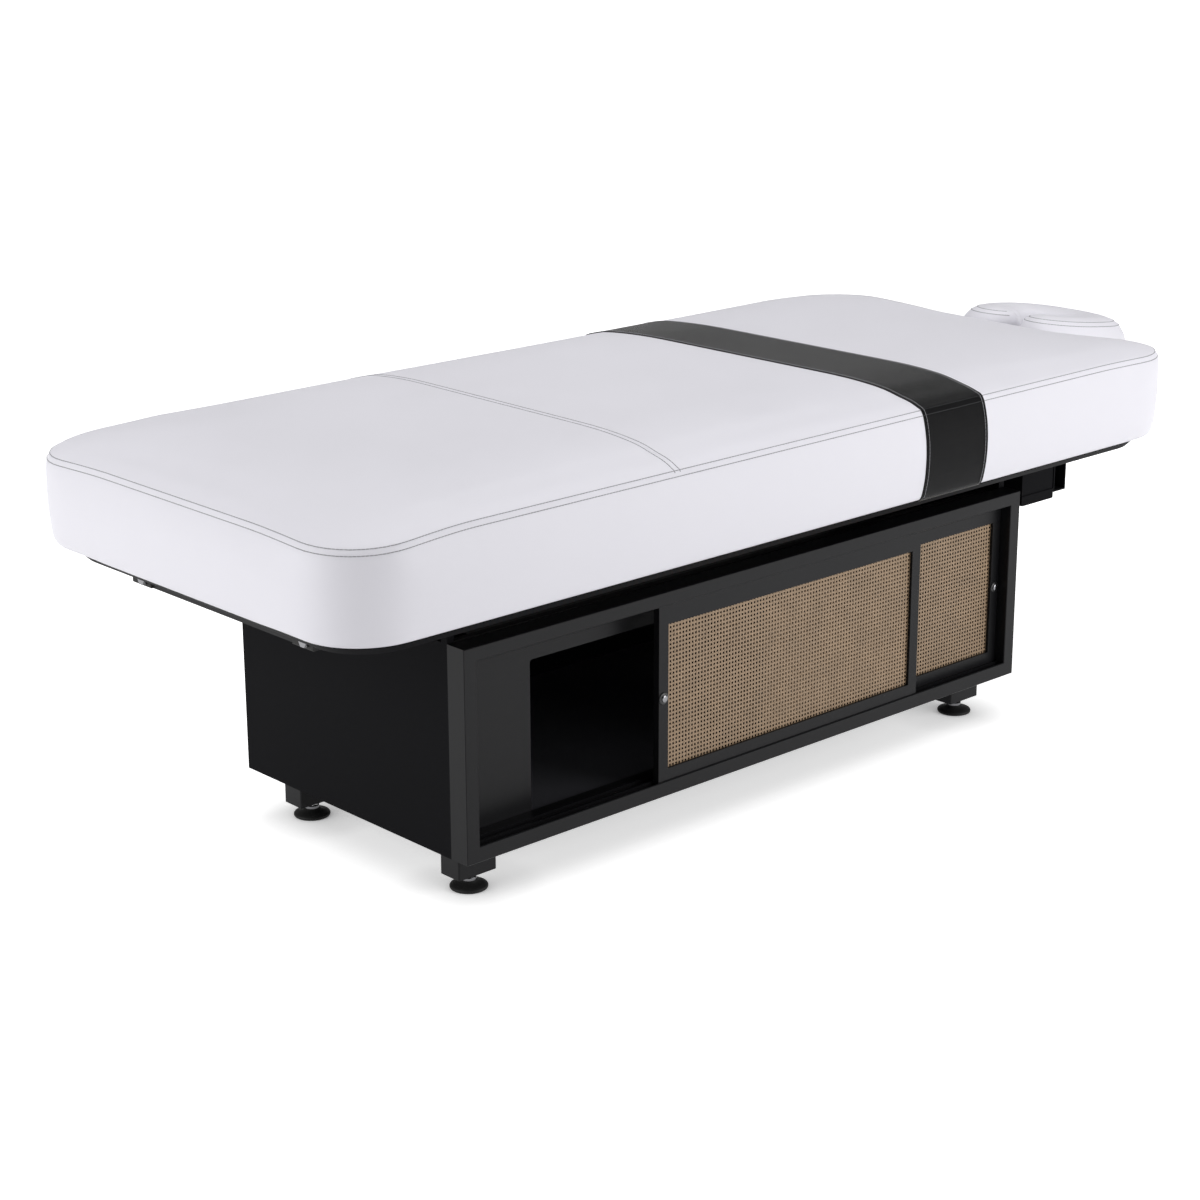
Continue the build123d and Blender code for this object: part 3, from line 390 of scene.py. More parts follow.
def fibre_group():
    """Fine fibres and broad patches of tone, for cane."""
    group, given, result = group_of("Cane Fibre", {"Streak": 0.25}, ("Shade", "Height"))
    fibres = noise(group, given["Vector"], scale=620, detail=4.0, roughness=0.6)
    patches = noise(group, given["Vector"], scale=28.0, detail=3.0)
    centred = calculate(group, "SUBTRACT", calculate(group, "ADD", fibres, patches), 1.0)
    group.links.new(calculate(group, "MULTIPLY_ADD", centred, given["Streak"], 1.0), result["Shade"])
    group.links.new(fibres, result["Height"])
    return group


GROUPS = {}


def effect(tree, make_group, links):
    """Place a shared node group in a material. Its first use makes it."""
    if make_group not in GROUPS:
        GROUPS[make_group] = make_group()
    return add_node(tree, "ShaderNodeGroup", links, node_tree=GROUPS[make_group])


def new_material(name):
    """A material with one Principled surface, and its tree, shader and object coordinates."""
    material = bpy.data.materials.new(name)
    material.use_nodes = True
    tree = material.node_tree
    coordinates = tree.nodes.new("ShaderNodeTexCoord")
    return material, tree, tree.nodes["Principled BSDF"], coordinates.outputs["Object"]


def dress(tree, shader, colour, roughness, pattern, strength, depth):
    """Let a pattern shade a colour, vary its roughness and raise a relief, its depth in metres."""
    shaded = add_node(
        tree, "ShaderNodeVectorMath", [(0, colour), ("Scale", pattern["Shade"])], operation="SCALE"
    )
    links = [("Height", pattern["Height"]), ("Strength", strength), ("Distance", depth)]
    relief = add_node(tree, "ShaderNodeBump", links)
    tree.links.new(shaded.outputs[0], shader.inputs["Base Color"])
    tree.links.new(relief.outputs["Normal"], shader.inputs["Normal"])
    shader.inputs["Roughness"].default_value = roughness
    if "Roughness" in pattern:
        rough = calculate(tree, "ADD", pattern["Roughness"], roughness)
        tree.links.new(rough, shader.inputs["Roughness"])


def leather_material(name, colour, roughness, scale, depth, tone, specular=0.4, sheen=0.0):
    """Upholstery with a grain."""
    material, tree, shader, coordinates = new_material(name)
    grain = effect(tree, leather_group, [("Vector", coordinates), ("Scale", scale), ("Tone", tone)])
    dress(tree, shader, colour, roughness, grain.outputs, 0.35, depth)
    shader.inputs["Specular IOR Level"].default_value = specular
    shader.inputs["Sheen Weight"].default_value = sheen
    shader.inputs["Sheen Roughness"].default_value = 0.3
    return material


def coated_material(name, colour, roughness, scale, depth, smudge=0.1, metallic=0.0, specular=0.5):
    """Lacquer, metal, plastic or thread."""
    material, tree, shader, coordinates = new_material(name)
    links = [("Vector", coordinates), ("Grain Scale", scale), ("Smudge", smudge)]
    surface = effect(tree, surface_group, links)
    dress(tree, shader, colour, roughness, surface.outputs, 0.3, depth)
    shader.inputs["Metallic"].default_value = metallic
    shader.inputs["Specular IOR Level"].default_value = specular
    return material


def cane_material(name, colour):
    """Natural cane, a plain colour with fibres."""
    material, tree, shader, coordinates = new_material(name)
    fibre = effect(tree, fibre_group, [("Vector", coordinates), ("Streak", 0.5)])
    dress(tree, shader, colour, 0.55, fibre.outputs, 0.4, 0.0002)
    return material


# Every finish by its name, and the pieces whose finish isn't the one that their slot names.
MATERIALS = {}
OWN_FINISHES = {
    "panel_lacquer": (
        "end_panels", "back_panel", "front_corner_strips", "back_corner_posts",
        "control_housing", "housing_tray", "end_channel", "deck_board",
    ),
    # The storage bay's inside gets a lightened copy of the same lacquer: painted light for the dim bay.
    "inner_lacquer": ("bay_partitions", "bay_ceiling", "cabinet_floor"),
    "smoked_chrome": ("rail_end_bolts", "foot_stud_1", "foot_stud_2", "foot_stud_3", "foot_stud_4"),
}
# How many times lighter the lacquer is painted inside the storage bay: painted light, not a paler finish.
BAY_PAINTED_LIGHT = 8


class TABLE_OT_finishes(bpy.types.Operator):
    """Make every finish and give the plain pieces theirs"""

    bl_idname = "treatment_table.finishes"
    bl_label = "Finishes"

    def execute(self, context):
        colours = context.scene.table_colours
        self.make_soft(colours)
        self.make_lacquers(colours.lacquer)
        self.make_hardware()
        own = {piece: finish for finish, pieces in OWN_FINISHES.items() for piece in pieces}
        slots = {part["node"]: part["material_slot"] for part in frame["record"]["subparts"]}
        for name, node in nodes.items():
            node.data.materials.clear()
            node.data.materials.append(MATERIALS[own.get(name, slots[name])])
        return {"FINISHED"}

    def make_soft(self, colours):
        """Upholstery, band, threads and cane."""
        pale, dark = colours.upholstery, colours.band
        MATERIALS["cushion_white"] = leather_material("Pale Upholstery", pale, 0.48, 1100, 0.0002, 0.03)
        MATERIALS["band_leather"] = leather_material(
            "Dark Leather", dark, 0.4, 800, 0.0004, tone=0.3, specular=0.04, sheen=0.26
        )
        MATERIALS["thread"] = coated_material("Pale Thread", (0.33, 0.33, 0.35), 0.8, 3000, 0.0001)
        MATERIALS["dark_thread"] = coated_material(
            "Dark Thread", (0.04, 0.04, 0.042), 0.6, 3000, 0.0001, specular=0.2
        )
        MATERIALS["cane"] = cane_material("Natural Cane", colours.cane)

    def make_lacquers(self, lacquer):
        """The cabinet's lacquer, duller on its panels, and a copy painted lighter inside the storage bay
        as painted light.
        """
        # The bay's copy is the same lacquer colour multiplied up, so its lightness is painted light.
        inner = [BAY_PAINTED_LIGHT * share for share in lacquer]
        for slot, name, colour, roughness, specular in (
            ("black_lacquer", "Dark Lacquer", lacquer, 0.36, 0.13),
            ("inner_lacquer", "Inner Lacquer", inner, 0.45, 0.2),
            ("panel_lacquer", "Panel Lacquer", lacquer, 0.5, 0.015),
        ):
            MATERIALS[slot] = coated_material(
                name, colour, roughness, 500, 0.00004, smudge=0.12, specular=specular
            )

    def make_hardware(self):
        """Steel, chrome, plastic and rubber: colour, roughness, scale, depth, smudge, metal, specular."""
        for slot, name, *look in (
            ("black_steel", "Powder Coat", (0.01, 0.01, 0.011), 0.5, 900, 0.0002, 0.1, 0, 0.15),
            ("column_steel", "Column Paint", (0.055, 0.055, 0.06), 0.4, 900, 0.0001),
            ("zinc_steel", "Zinc Steel", (0.36, 0.36, 0.35), 0.38, 600, 0.0001, 0.2, 1),
            ("bright_chrome", "Bright Chrome", (0.72, 0.72, 0.73), 0.1, 400, 0.00001, 0.06, 1),
            ("smoked_chrome", "Smoked Chrome", (0.2, 0.2, 0.21), 0.16, 400, 0.00001, 0.06, 1),
            ("black_nylon", "Moulded Nylon", (0.012, 0.012, 0.012), 0.55, 1200, 0.0002, 0.1, 0, 0.2),
            ("black_rubber", "Foot Rubber", (0.01, 0.01, 0.01), 0.6, 700, 0.0002, 0.1, 0, 0.25),
            ("pull_black", "Blackened Metal", (0.012, 0.012, 0.013), 0.3, 900, 0.00005, 0.1, 0, 0.4),
        ):
            MATERIALS[slot] = coated_material(name, *look)


# Levels over the mattress's bottom and insets from its outline, ring by ring, in metres:
# the shoulder rises to the edge of the top, and the belly falls to the bottom.
SHOULDER = (
    (0.097, 0.0003), (0.109, 0.0016), (0.120, 0.0034), (0.130, 0.0056), (0.137, 0.0076),
    (0.1416, 0.0091), (0.1428, 0.0098), (0.1440, 0.0101), (0.1470, 0.0117), (0.1496, 0.0133),
    (0.1508, 0.0146), (0.1520, 0.0154), (0.1545, 0.0182), (0.1575, 0.0224), (0.1605, 0.0278),
    (0.1632, 0.0342), (0.1655, 0.0415), (0.1674, 0.0495), (0.1688, 0.0575), (0.1698, 0.0645),
)
BELLY = (
    (0.064, 0.0004), (0.048, 0.0012), (0.034, 0.0022), (0.022, 0.0036),
    (0.013, 0.0050), (0.007, 0.0080), (0.003, 0.0115), (0.0, 0.0165),
)
FLAT_LOW = 0.080
FLAT_HIGH = 0.084
LOW_ROW = 0.1428
HIGH_ROW = 0.1508
TOP_LEVEL, EDGE_WIDTH = SHOULDER[-1]
CORNER_CUTS, LONG_CUTS, SHORT_CUTS = 10, 97, 35


def is_cap(face, side):
    """Whether a face is the many-sided one that closes the outline above, 1, or below, -1."""
    return len(face.verts) > 40 and face.normal.z * side > 0.9


def rounded_outline(length, width, corner, height):
    """A flat rounded rectangle with an even ring of edges, ready to be raised."""
    deselect()
    bpy.ops.mesh.primitive_plane_add(size=1, location=(MATTRESS_MIDDLE, 0, height))
    piece = bpy.context.object
    piece.scale = (length, width, 1)
    place(piece)
    edit(piece, "VERT", "SELECT")
    bpy.ops.mesh.bevel(
        offset=corner, offset_type="OFFSET", segments=CORNER_CUTS, affect="VERTICES", profile=0.5
    )
    bpy.ops.mesh.select_mode(type="FACE")
    bpy.ops.mesh.select_all(action="SELECT")
    bpy.ops.mesh.delete(type="ONLY_FACE")
    bpy.ops.mesh.select_mode(type="EDGE")
    pick(piece, "edges", lambda e: abs(e.verts[0].co.x - e.verts[1].co.x) > length / 2)
    bpy.ops.mesh.subdivide(number_cuts=LONG_CUTS)
    pick(piece, "edges", lambda e: abs(e.verts[0].co.y - e.verts[1].co.y) > width / 3)
    bpy.ops.mesh.subdivide(number_cuts=SHORT_CUTS)
    bpy.ops.mesh.select_all(action="SELECT")
    bpy.ops.mesh.edge_face_add()
    bpy.ops.mesh.select_mode(type="FACE")
    return piece


def raise_levels(piece, side, height, levels):
    """Step the cap of one side in and out along its normal, one ring of faces a level."""
    pick(piece, "faces", lambda f: is_cap(f, side))
    inset = 0.0
    for next_height, next_inset in levels:
        bpy.ops.mesh.inset(
            thickness=max(next_inset - inset, 0.00001), depth=abs(next_height - height),
            use_boundary=True, use_even_offset=True,
        )
        height, inset = next_height, next_inset


def at_level(edge, level):
    """Whether an edge lies along one level of the unshaped mattress."""
    return all(abs(vertex.co.z - MATTRESS_BOTTOM - level) < 0.0002 for vertex in edge.verts)


def make_mattress(sizes):
    """The whole cushion, from a flat outline raised and lowered in rings, its top a grid."""
    length = 2 * HALF_LENGTH - sizes.fullness
    width = 2 * HALF_WIDTH - sizes.fullness
    piece = rounded_outline(length, width, sizes.corner, MATTRESS_BOTTOM + FLAT_LOW)
    bpy.ops.mesh.select_all(action="SELECT")
    bpy.ops.mesh.extrude_region_move(TRANSFORM_OT_translate={"value": (0, 0, FLAT_HIGH - FLAT_LOW)})
    bpy.ops.mesh.select_all(action="SELECT")
    bpy.ops.mesh.normals_make_consistent(inside=False)
    raise_levels(piece, 1, FLAT_HIGH, SHOULDER)
    raise_levels(piece, -1, FLAT_LOW, BELLY)
    pick(piece, "faces", lambda f: is_cap(f, 1))
    bpy.ops.mesh.delete(type="ONLY_FACE")
    bpy.ops.mesh.select_mode(type="EDGE")
    pick(piece, "edges", lambda e: at_level(e, LOW_ROW))
    bpy.ops.mesh.mark_seam()
    pick(piece, "edges", lambda e: at_level(e, HIGH_ROW))
    bpy.ops.mesh.mark_sharp()
    top = MATTRESS_BOTTOM + TOP_LEVEL
    pick(piece, "edges", lambda e: e.is_boundary and abs(middle_of(e).z - top) < 0.0005)
    mesh = bmesh.from_edit_mesh(piece.data)
    corner_guess = Vector((head_high.x, foot_high.y, top))
    ring = [v for v in mesh.verts if v.select]
    mesh.select_history.clear()
    mesh.select_history.add(min(ring, key=lambda v: (v.co - corner_guess).length))
    bmesh.update_edit_mesh(piece.data)
    bpy.ops.mesh.fill_grid(span=SHORT_CUTS + 1 + CORNER_CUTS, offset=0)
    bpy.ops.object.mode_set(mode="OBJECT")
    return piece


def edge_distance(x, y, inset, corner):
    """How far a point in plan lies inside the outline at a given inset."""
    radius = corner - inset
    dx = abs(x - MATTRESS_MIDDLE) - (HALF_LENGTH - inset - radius)
    dy = abs(y) - (HALF_WIDTH - inset - radius)
    if dx > 0 and dy > 0:
        return radius - math.hypot(dx, dy)
    return radius - max(dx, dy)


def smooth(share):
    """A soft step from 0 to 1."""
    share = min(max(share, 0), 1)
    return share * share * (3 - 2 * share)


# How the top sags and its corners fill out: where each effect begins and how far it takes to
# grow, in metres, and the share of it that each side and end gets.
SAG_REACH = 0.24
SAG_BLEND = 0.215
NEAR_HEAD_SHARE, FAR_HEAD_SHARE = 0.2, 1.2
FOOT_CORNER_SHARE, FOOT_END_SHARE = 0.4, 0.6
DIP_REACH, DIP_BLEND = 0.34, 0.30
DIP_HALF_WIDTH, DIP_SIDE_BLEND = 0.12, 0.26
CROWN_REACH, CROWN_POWER = 0.16, 2.2
FALL_LENGTH = 1.243
SEAM_BLEND = 0.06
CORNER_PUSH = 0.0065
PUSH_LOW, PUSH_BLEND = 0.095, 0.05
PUSH_FADE = 0.022


def corner_share(x, y):
    """How near a point in plan is to a corner, from 0 to 1."""
    dx = abs(x - MATTRESS_MIDDLE) - HALF_LENGTH + SAG_REACH
    dy = abs(y) - HALF_WIDTH + SAG_REACH
    return smooth(dx / SAG_BLEND) * smooth(dy / SAG_BLEND)


def dip_share(x, y):
    """How far a point in plan lies in the shallow dip before the face rest."""
    along = smooth((x - head_high.x + DIP_REACH) / DIP_BLEND)
    return along * (1 - smooth((abs(y) - DIP_HALF_WIDTH) / DIP_SIDE_BLEND))


def drop_of(x, y, sizes):
    """How far the cover and its seam lie below their level, for the corners and both ends."""
    share = corner_share(x, y)
    if x > MATTRESS_MIDDLE:
        share *= NEAR_HEAD_SHARE if y < 0 else FAR_HEAD_SHARE
    else:
        foot_end = smooth((foot_low.x - x + SAG_REACH) / SAG_BLEND)
        share = FOOT_CORNER_SHARE * share + FOOT_END_SHARE * foot_end
    return sizes.corner_dip * share + sizes.head_dip * dip_share(x, y)


def crown_mattress(piece, sizes):
    """Crown the top, let it fall to the head end, and drop and fill out the corners."""
    seam = MATTRESS_BOTTOM + LOW_ROW
    full = TOP_LEVEL - HIGH_ROW + sizes.crown
    half_length = HALF_LENGTH - sizes.corner
    half_width = HALF_WIDTH - sizes.corner
    for vertex in piece.data.vertices:
        x, y, z = vertex.co
        height = z - MATTRESS_BOTTOM
        if height > TOP_LEVEL - 0.0005:
            share = min(max(edge_distance(x, y, EDGE_WIDTH, sizes.corner) / CROWN_REACH, 0), 1)
            vertex.co.z = z + sizes.crown * (1 - (1 - share) ** CROWN_POWER)
        over = vertex.co.z - MATTRESS_BOTTOM - HIGH_ROW
        if over > 0:
            along = min(max((x - MATTRESS_MIDDLE + sizes.cross_seam) / FALL_LENGTH, 0), 1)
            vertex.co.z -= over * along * (1 + y) * sizes.head_fall / full
        vertex.co.z -= drop_of(x, y, sizes) * smooth((z - seam + SEAM_BLEND) / SEAM_BLEND)
        outward = Vector((x - MATTRESS_MIDDLE, y, 0))
        outward.x = math.copysign(max(abs(outward.x) - half_length, 0), outward.x)
        outward.y = math.copysign(max(abs(outward.y) - half_width, 0), outward.y)
        if outward.length > 0:
            rise = smooth((height - PUSH_LOW) / PUSH_BLEND)
            rise *= 1 - smooth((height - HIGH_ROW) / PUSH_FADE)
            vertex.co += outward.normalized() * (CORNER_PUSH * rise * corner_share(x, y))


def inflate(piece, held, pressure, limit, frames=16):
    """Blow the cover up a little with a cloth simulation, hold its seams and cap its movement."""
    start = [vertex.co.copy() for vertex in piece.data.vertices]
    pins = piece.vertex_groups.new(name="held")
    for index, vertex in enumerate(piece.data.vertices):
        weight = held(vertex.co)
        if weight > 0:
            pins.add([index], weight, "REPLACE")
    choose(piece)
    cloth = piece.modifiers.new("Cloth", "CLOTH")
    settings = cloth.settings
    settings.quality = 6
    settings.mass = 0.3
    settings.tension_stiffness = 25
    settings.compression_stiffness = 25
    settings.bending_stiffness = 1.5
    settings.use_pressure = True
    settings.uniform_pressure_force = pressure
    settings.vertex_group_mass = "held"
    settings.effector_weights.gravity = 0
    cloth.collision_settings.use_collision = False
    cloth.point_cache.frame_start = 1
    cloth.point_cache.frame_end = frames
    for step in range(1, frames + 1):
        bpy.context.scene.frame_set(step)
    bpy.ops.object.modifier_apply(modifier="Cloth")
    bpy.context.scene.frame_set(1)
    for before, vertex in zip(start, piece.data.vertices):
        moved = vertex.co - before
        if moved.length > limit:
            vertex.co = before + moved.normalized() * limit
    piece.vertex_groups.clear()


def soften(piece, test, iterations):
    """Smooth the part of a cover that passes a test."""
    zone = piece.vertex_groups.new(name="soft")
    zone.add([v.index for v in piece.data.vertices if test(v.co)], 1.0, "REPLACE")
    apply_modifier(piece, "SMOOTH", factor=0.5, iterations=iterations, vertex_group="soft")
    piece.vertex_groups.clear()


def cross_cut(piece, x):
    """Cut a ring of edges round a piece at one place along the table."""
    edit(piece, choice="SELECT")
    bpy.ops.mesh.bisect(plane_co=(x, 0, 0), plane_no=(1, 0, 0))


def sink_ring(piece, x, lowest, depth):
    """Press a cut ring inwards above a height, to form the bottom of a seam."""
    edit(piece, "VERT")
    pick(piece, "verts", lambda v: abs(v.co.x - x) < 0.0002 and v.co.z > MATTRESS_BOTTOM + lowest)
    bpy.ops.transform.shrink_fatten(value=-depth)


def ring_curve(piece, test):
    """A copy of the edges of a piece that pass a test, as a curve for a row of stitches."""
    edit(piece, "EDGE")
    if not pick(piece, "edges", test):
        raise RuntimeError("no edges found for a row of stitches")
    path = take_selected()
    path.parent = None
    choose(path)
    bpy.ops.object.convert(target="CURVE")
    return path


def lift_curve(path, piece, amount):
    """Move a curve's points off a piece's surface, along its normals."""
    for spline in path.data.splines:
        for point in spline.points:
            found, spot, normal, _ = piece.closest_point_on_mesh(point.co.xyz)
            if found:
                point.co.xyz = spot + normal * amount
    return path


def sew(path, sizes, share=1.0):
    """One stitch, repeated along a curve and bent to it. The curve is used up."""
    deselect()
    pitch = sizes.stitch_pitch
    length = pitch * 0.78
    radius = sizes.thread * share
    turn = (0, math.pi / 2, 0)
    bpy.ops.mesh.primitive_cylinder_add(vertices=6, radius=radius, depth=length, rotation=turn)
    stitch = bpy.context.object
    place(stitch)
    edit(stitch)
    pick(stitch, "faces", lambda f: abs(f.normal.x) > 0.9)
    bpy.ops.mesh.inset(thickness=radius * 0.45, depth=radius * 0.7, use_individual=True)
    stitch.location = (pitch / 2, 0, 0)
    place(stitch)
    total = sum(spline.calc_length() for spline in path.data.splines)
    repeat(stitch, max(int(total / pitch), 1), (pitch, 0, 0))
    apply_modifier(stitch, "CURVE", object=path, deform_axis="POS_X")
    curve = path.data
    bpy.data.objects.remove(path)
    bpy.data.curves.remove(curve)
    return stitch


# Where the cross seam is cut, from its middle, where its rows and the band's rows run, how far
# down each goes, and how high the band's rows lie over the cover.
SEAM_CUTS = (-0.009, -0.0055, -0.002, 0, 0.002, 0.0055, 0.009)
SEAM_ROW = 0.0055
SEAM_DEPTH = 0.002
BAND_MARGIN = 0.006
SEAM_LOWEST, SEAM_ROW_LOWEST, BAND_ROW_LOWEST = 0.162, 0.1465, 0.004
BAND_ROW_LIFT, CROSSING_LIFT = 0.0016, 0.0014
BAND_ROW_THREAD, CROSSING_THREAD = 0.7, 0.8
# What the filling leaves where it is: the bottom edge and the cover beside a row of stitches.
HELD_EDGE = 0.008
ROW_MARGIN = 0.003
# The tests for both rows round the mattress: the lower one is marked as a seam, the upper as sharp.
ROUND_ROWS = (lambda edge: edge.seam, lambda edge: not edge.smooth)


def across(x, lowest):
    """A test for the edges of the cut at one place along the table, above a height."""
    return lambda e: all(abs(v.co.x - x) < 0.0003 and v.co.z > MATTRESS_BOTTOM + lowest for v in e.verts)


def over_band(marked, side):
    """A test for the edges of a row that cross the band on one side of the table."""

    def chosen(edge):
        middle = middle_of(edge)
        return marked(edge) and band_low.x < middle.x < band_high.x and middle.y * side > 0

    return chosen


class TABLE_OT_mattress(bpy.types.Operator):
    """Make the upholstered mattress with its band and stitching"""

    bl_idname = "treatment_table.mattress"
    bl_label = "Mattress"

    def execute(self, context):
        sizes = context.scene.table_mattress
        piece = make_mattress(sizes)
        crown_mattress(piece, sizes)

        def level(co):
            return co.z - MATTRESS_BOTTOM + drop_of(co.x, co.y, sizes)

        def held(co):
            on_rows = LOW_ROW - ROW_MARGIN < level(co) < HIGH_ROW + ROW_MARGIN
            return 1.0 if on_rows or level(co) < HELD_EDGE else 0.0

        inflate(piece, held, 3.0, sizes.fullness)
        soften(piece, lambda co: level(co) > HIGH_ROW + ROW_MARGIN, 5)
        seam_x = MATTRESS_MIDDLE - sizes.cross_seam
        for offset in SEAM_CUTS:
            cross_cut(piece, seam_x + offset)
        sink_ring(piece, seam_x, SEAM_LOWEST, SEAM_DEPTH)
        for x in (band_low.x, band_high.x, band_low.x + BAND_MARGIN, band_high.x - BAND_MARGIN):
            cross_cut(piece, x)
        rows = [sew(ring_curve(piece, row), sizes) for row in ROUND_ROWS]
        for x in (seam_x - SEAM_ROW, seam_x + SEAM_ROW):
            rows.append(sew(ring_curve(piece, across(x, SEAM_ROW_LOWEST)), sizes))
        self.make_band(piece)
        edges = []
        for x in (band_low.x + BAND_MARGIN, band_high.x - BAND_MARGIN):
            path = lift_curve(ring_curve(piece, across(x, BAND_ROW_LOWEST)), piece, BAND_ROW_LIFT)
            edges.append(sew(path, sizes, BAND_ROW_THREAD))
        crossing = []
        for row in ROUND_ROWS:
            for side in (-1, 1):
                path = lift_curve(ring_curve(piece, over_band(row, side)), piece, CROSSING_LIFT)
                crossing.append(sew(path, sizes, CROSSING_THREAD))
        apply_modifier(piece, "SUBSURF", levels=1, render_levels=1)
        finish_piece(piece, "mattress", "top", "cushion_white")
        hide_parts("cushion_foot_section", "cushion_head_section")
        finish_piece(join(rows), "mattress_stitches", "top", "cushion_white", "thread")
        finish_piece(join(edges), "band_stitches", "top", "cushion_white", "thread")
        finish_piece(join(crossing), "band_cross_stitches", "top", "band_leather", "dark_thread")
        return {"FINISHED"}

    def make_band(self, piece):
        """The dark band, a thin wrap over the top and down both sides."""
        edit(piece)

        def in_band(face):
            return band_low.x < face.calc_center_median().x < band_high.x and face.normal.z > -0.95

        pick(piece, "faces", in_band)
        band = take_selected()
        apply_modifier(band, "SUBSURF", levels=1, render_levels=1, boundary_smooth="PRESERVE_CORNERS")
        apply_modifier(band, "SOLIDIFY", thickness=0.0014, offset=1.0, use_even_offset=True)
        finish_piece(band, "mattress_band", "top", "band_leather")
        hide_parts("cushion_band")


def rest_frame():
    """The face rest cushion's middle, the directions along and up, and its outer radius."""
    low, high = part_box("face_rest_cushion")
    down = Vector((0, 0, 0))
    base = []
    mesh = nodes["face_rest_cushion"].data
    for face in mesh.polygons:
        if face.normal.z < -0.98:
            down += face.normal * face.area
            base.append(face.center.copy())
    up = -down.normalized()
    radius = (high.y - low.y) / 2
    along = Vector((up.z, 0, -up.x))
    far_end = max(base, key=lambda point: point.dot(along))
    middle = Vector((high.x - radius * up.z - 0.003, 0, 0))
    middle.z = far_end.z + (far_end.x - middle.x) * up.x / up.z
    return middle, along, up, radius


# How the cushion's outline departs from its solid, in shares of the outer radius, and how its
# wall leans in and its lobes crown over the height, in metres.
OUTER_START, OUTER_BLEND = 0.35, 0.5
MOUTH_REACH, MOUTH_BLEND, MOUTH_BACK = 0.66, 0.3, -0.3
MOUTH_NARROWING = 0.16
FAR_LENGTH_SHARE, WIDTH_SHARE = 0.915, 1.03
LEAN_LOW, LEAN_BLEND, LEAN_SHARE = 0.030, 0.035, 0.05
LOBE_CROWN, LOBE_MIDDLE, LOBE_HALF_WIDTH = 0.003, 0.68, 0.34


def shape_rest(piece, sizes):
    """Square the outline a little, and draw the inner wall in so that the lobes stand close."""
    middle, along, up, radius = rest_frame()
    power = sizes.squareness
    for vertex in piece.data.vertices:
        offset = vertex.co - middle
        x, y, z = offset.dot(along), offset.y, offset.dot(up)
        reach = max(math.hypot(x, y), 0.0001)
        square = (abs(x / reach) ** power + abs(y / reach) ** power) ** (-1 / power)
        outer = smooth((reach / radius - OUTER_START) / OUTER_BLEND)
        factor = 1 + (square - 1) * outer
        if reach < MOUTH_REACH * radius and x > MOUTH_BACK * radius:
            factor -= MOUTH_NARROWING * smooth((MOUTH_REACH - reach / radius) / MOUTH_BLEND)
        x *= factor * (1 if x < 0 else FAR_LENGTH_SHARE)
        y *= factor * WIDTH_SHARE
        rise = smooth((z - LEAN_LOW) / LEAN_BLEND)
        lean = 1 - LEAN_SHARE * rise * outer
        x, y = x * lean, y * lean
        from_middle = min(abs(reach / radius - LOBE_MIDDLE) / LOBE_HALF_WIDTH, 1)
        z += LOBE_CROWN * rise * (1 - from_middle**2)
        vertex.co = middle + along * x + Vector((0, y, 0)) + up * z


class TABLE_OT_face_rest(bpy.types.Operator):
    """Make the padded face rest cushion with its double seam"""

    bl_idname = "treatment_table.face_rest"
    bl_label = "Face Rest Cushion"

    def execute(self, context):
        sizes = context.scene.table_face_rest
        middle, _, up, _ = rest_frame()
        piece = new_object("face_rest_cover", nodes["face_rest_cushion"].data.copy())
        edit(piece, "VERT")
        weld()
        apply_modifier(piece, "REMESH", mode="VOXEL", voxel_size=0.0045)
        shape_rest(piece, sizes)

        def held(co):
            level = (co - middle).dot(up)
            on_rows = sizes.lower_seam - ROW_MARGIN < level < sizes.upper_seam + ROW_MARGIN
            return 1.0 if on_rows or level < 0.006 else 0.0

        inflate(piece, held, 5.0, sizes.fullness)
        apply_modifier(piece, "SMOOTH", factor=0.5, iterations=3)
        apply_modifier(piece, "SUBSURF", levels=1, render_levels=1)
        rows = []
        for level in (sizes.lower_seam, sizes.upper_seam):
            rows.append(sew(self.level_ring(piece, level), context.scene.table_mattress))
        finish_piece(piece, "face_rest_pad", "face_rest", "cushion_white")
        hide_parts("face_rest_cushion")
        finish_piece(join(rows), "face_rest_stitches", "face_rest", "cushion_white", "thread")
        return {"FINISHED"}

    def level_ring(self, piece, level):
        """The outer outline of the cushion at one level, as a curve."""
        middle, along, up, radius = rest_frame()
        choose(piece)
        bpy.ops.object.duplicate()
        ring = bpy.context.object
        edit(ring, "VERT", "SELECT")
        bpy.ops.mesh.bisect(plane_co=middle + up * level, plane_no=up, clear_inner=True, clear_outer=True)
        pick(ring, "verts", lambda v: math.hypot((v.co - middle).dot(along), v.co.y) < 0.6 * radius)
        bpy.ops.mesh.delete(type="VERT")
        bpy.ops.object.mode_set(mode="OBJECT")
        bpy.ops.object.convert(target="CURVE")
        return bpy.context.object


def turned(name, axis_point, profile, steps=40, upright=False):
    """A turned piece: an open profile of (radius, outward) spun round an axis along Y, or along Z."""
    deselect()
    mesh = bpy.data.meshes.new(name)
    points = [(axis_point.x + r, axis_point.y - out, axis_point.z) for r, out in profile]
    if upright:
        points = [(axis_point.x + r, axis_point.y, axis_point.z + out) for r, out in profile]
    mesh.from_pydata(points, [(i, i + 1) for i in range(len(points) - 1)], [])
    piece = new_object(name, mesh)
    axis = (0, 0, 1) if upright else (0, 1, 0)
    edit(piece, "VERT", "SELECT")
    bpy.ops.mesh.spin(steps=steps, angle=math.tau, center=axis_point, axis=axis)
    weld()
    return piece


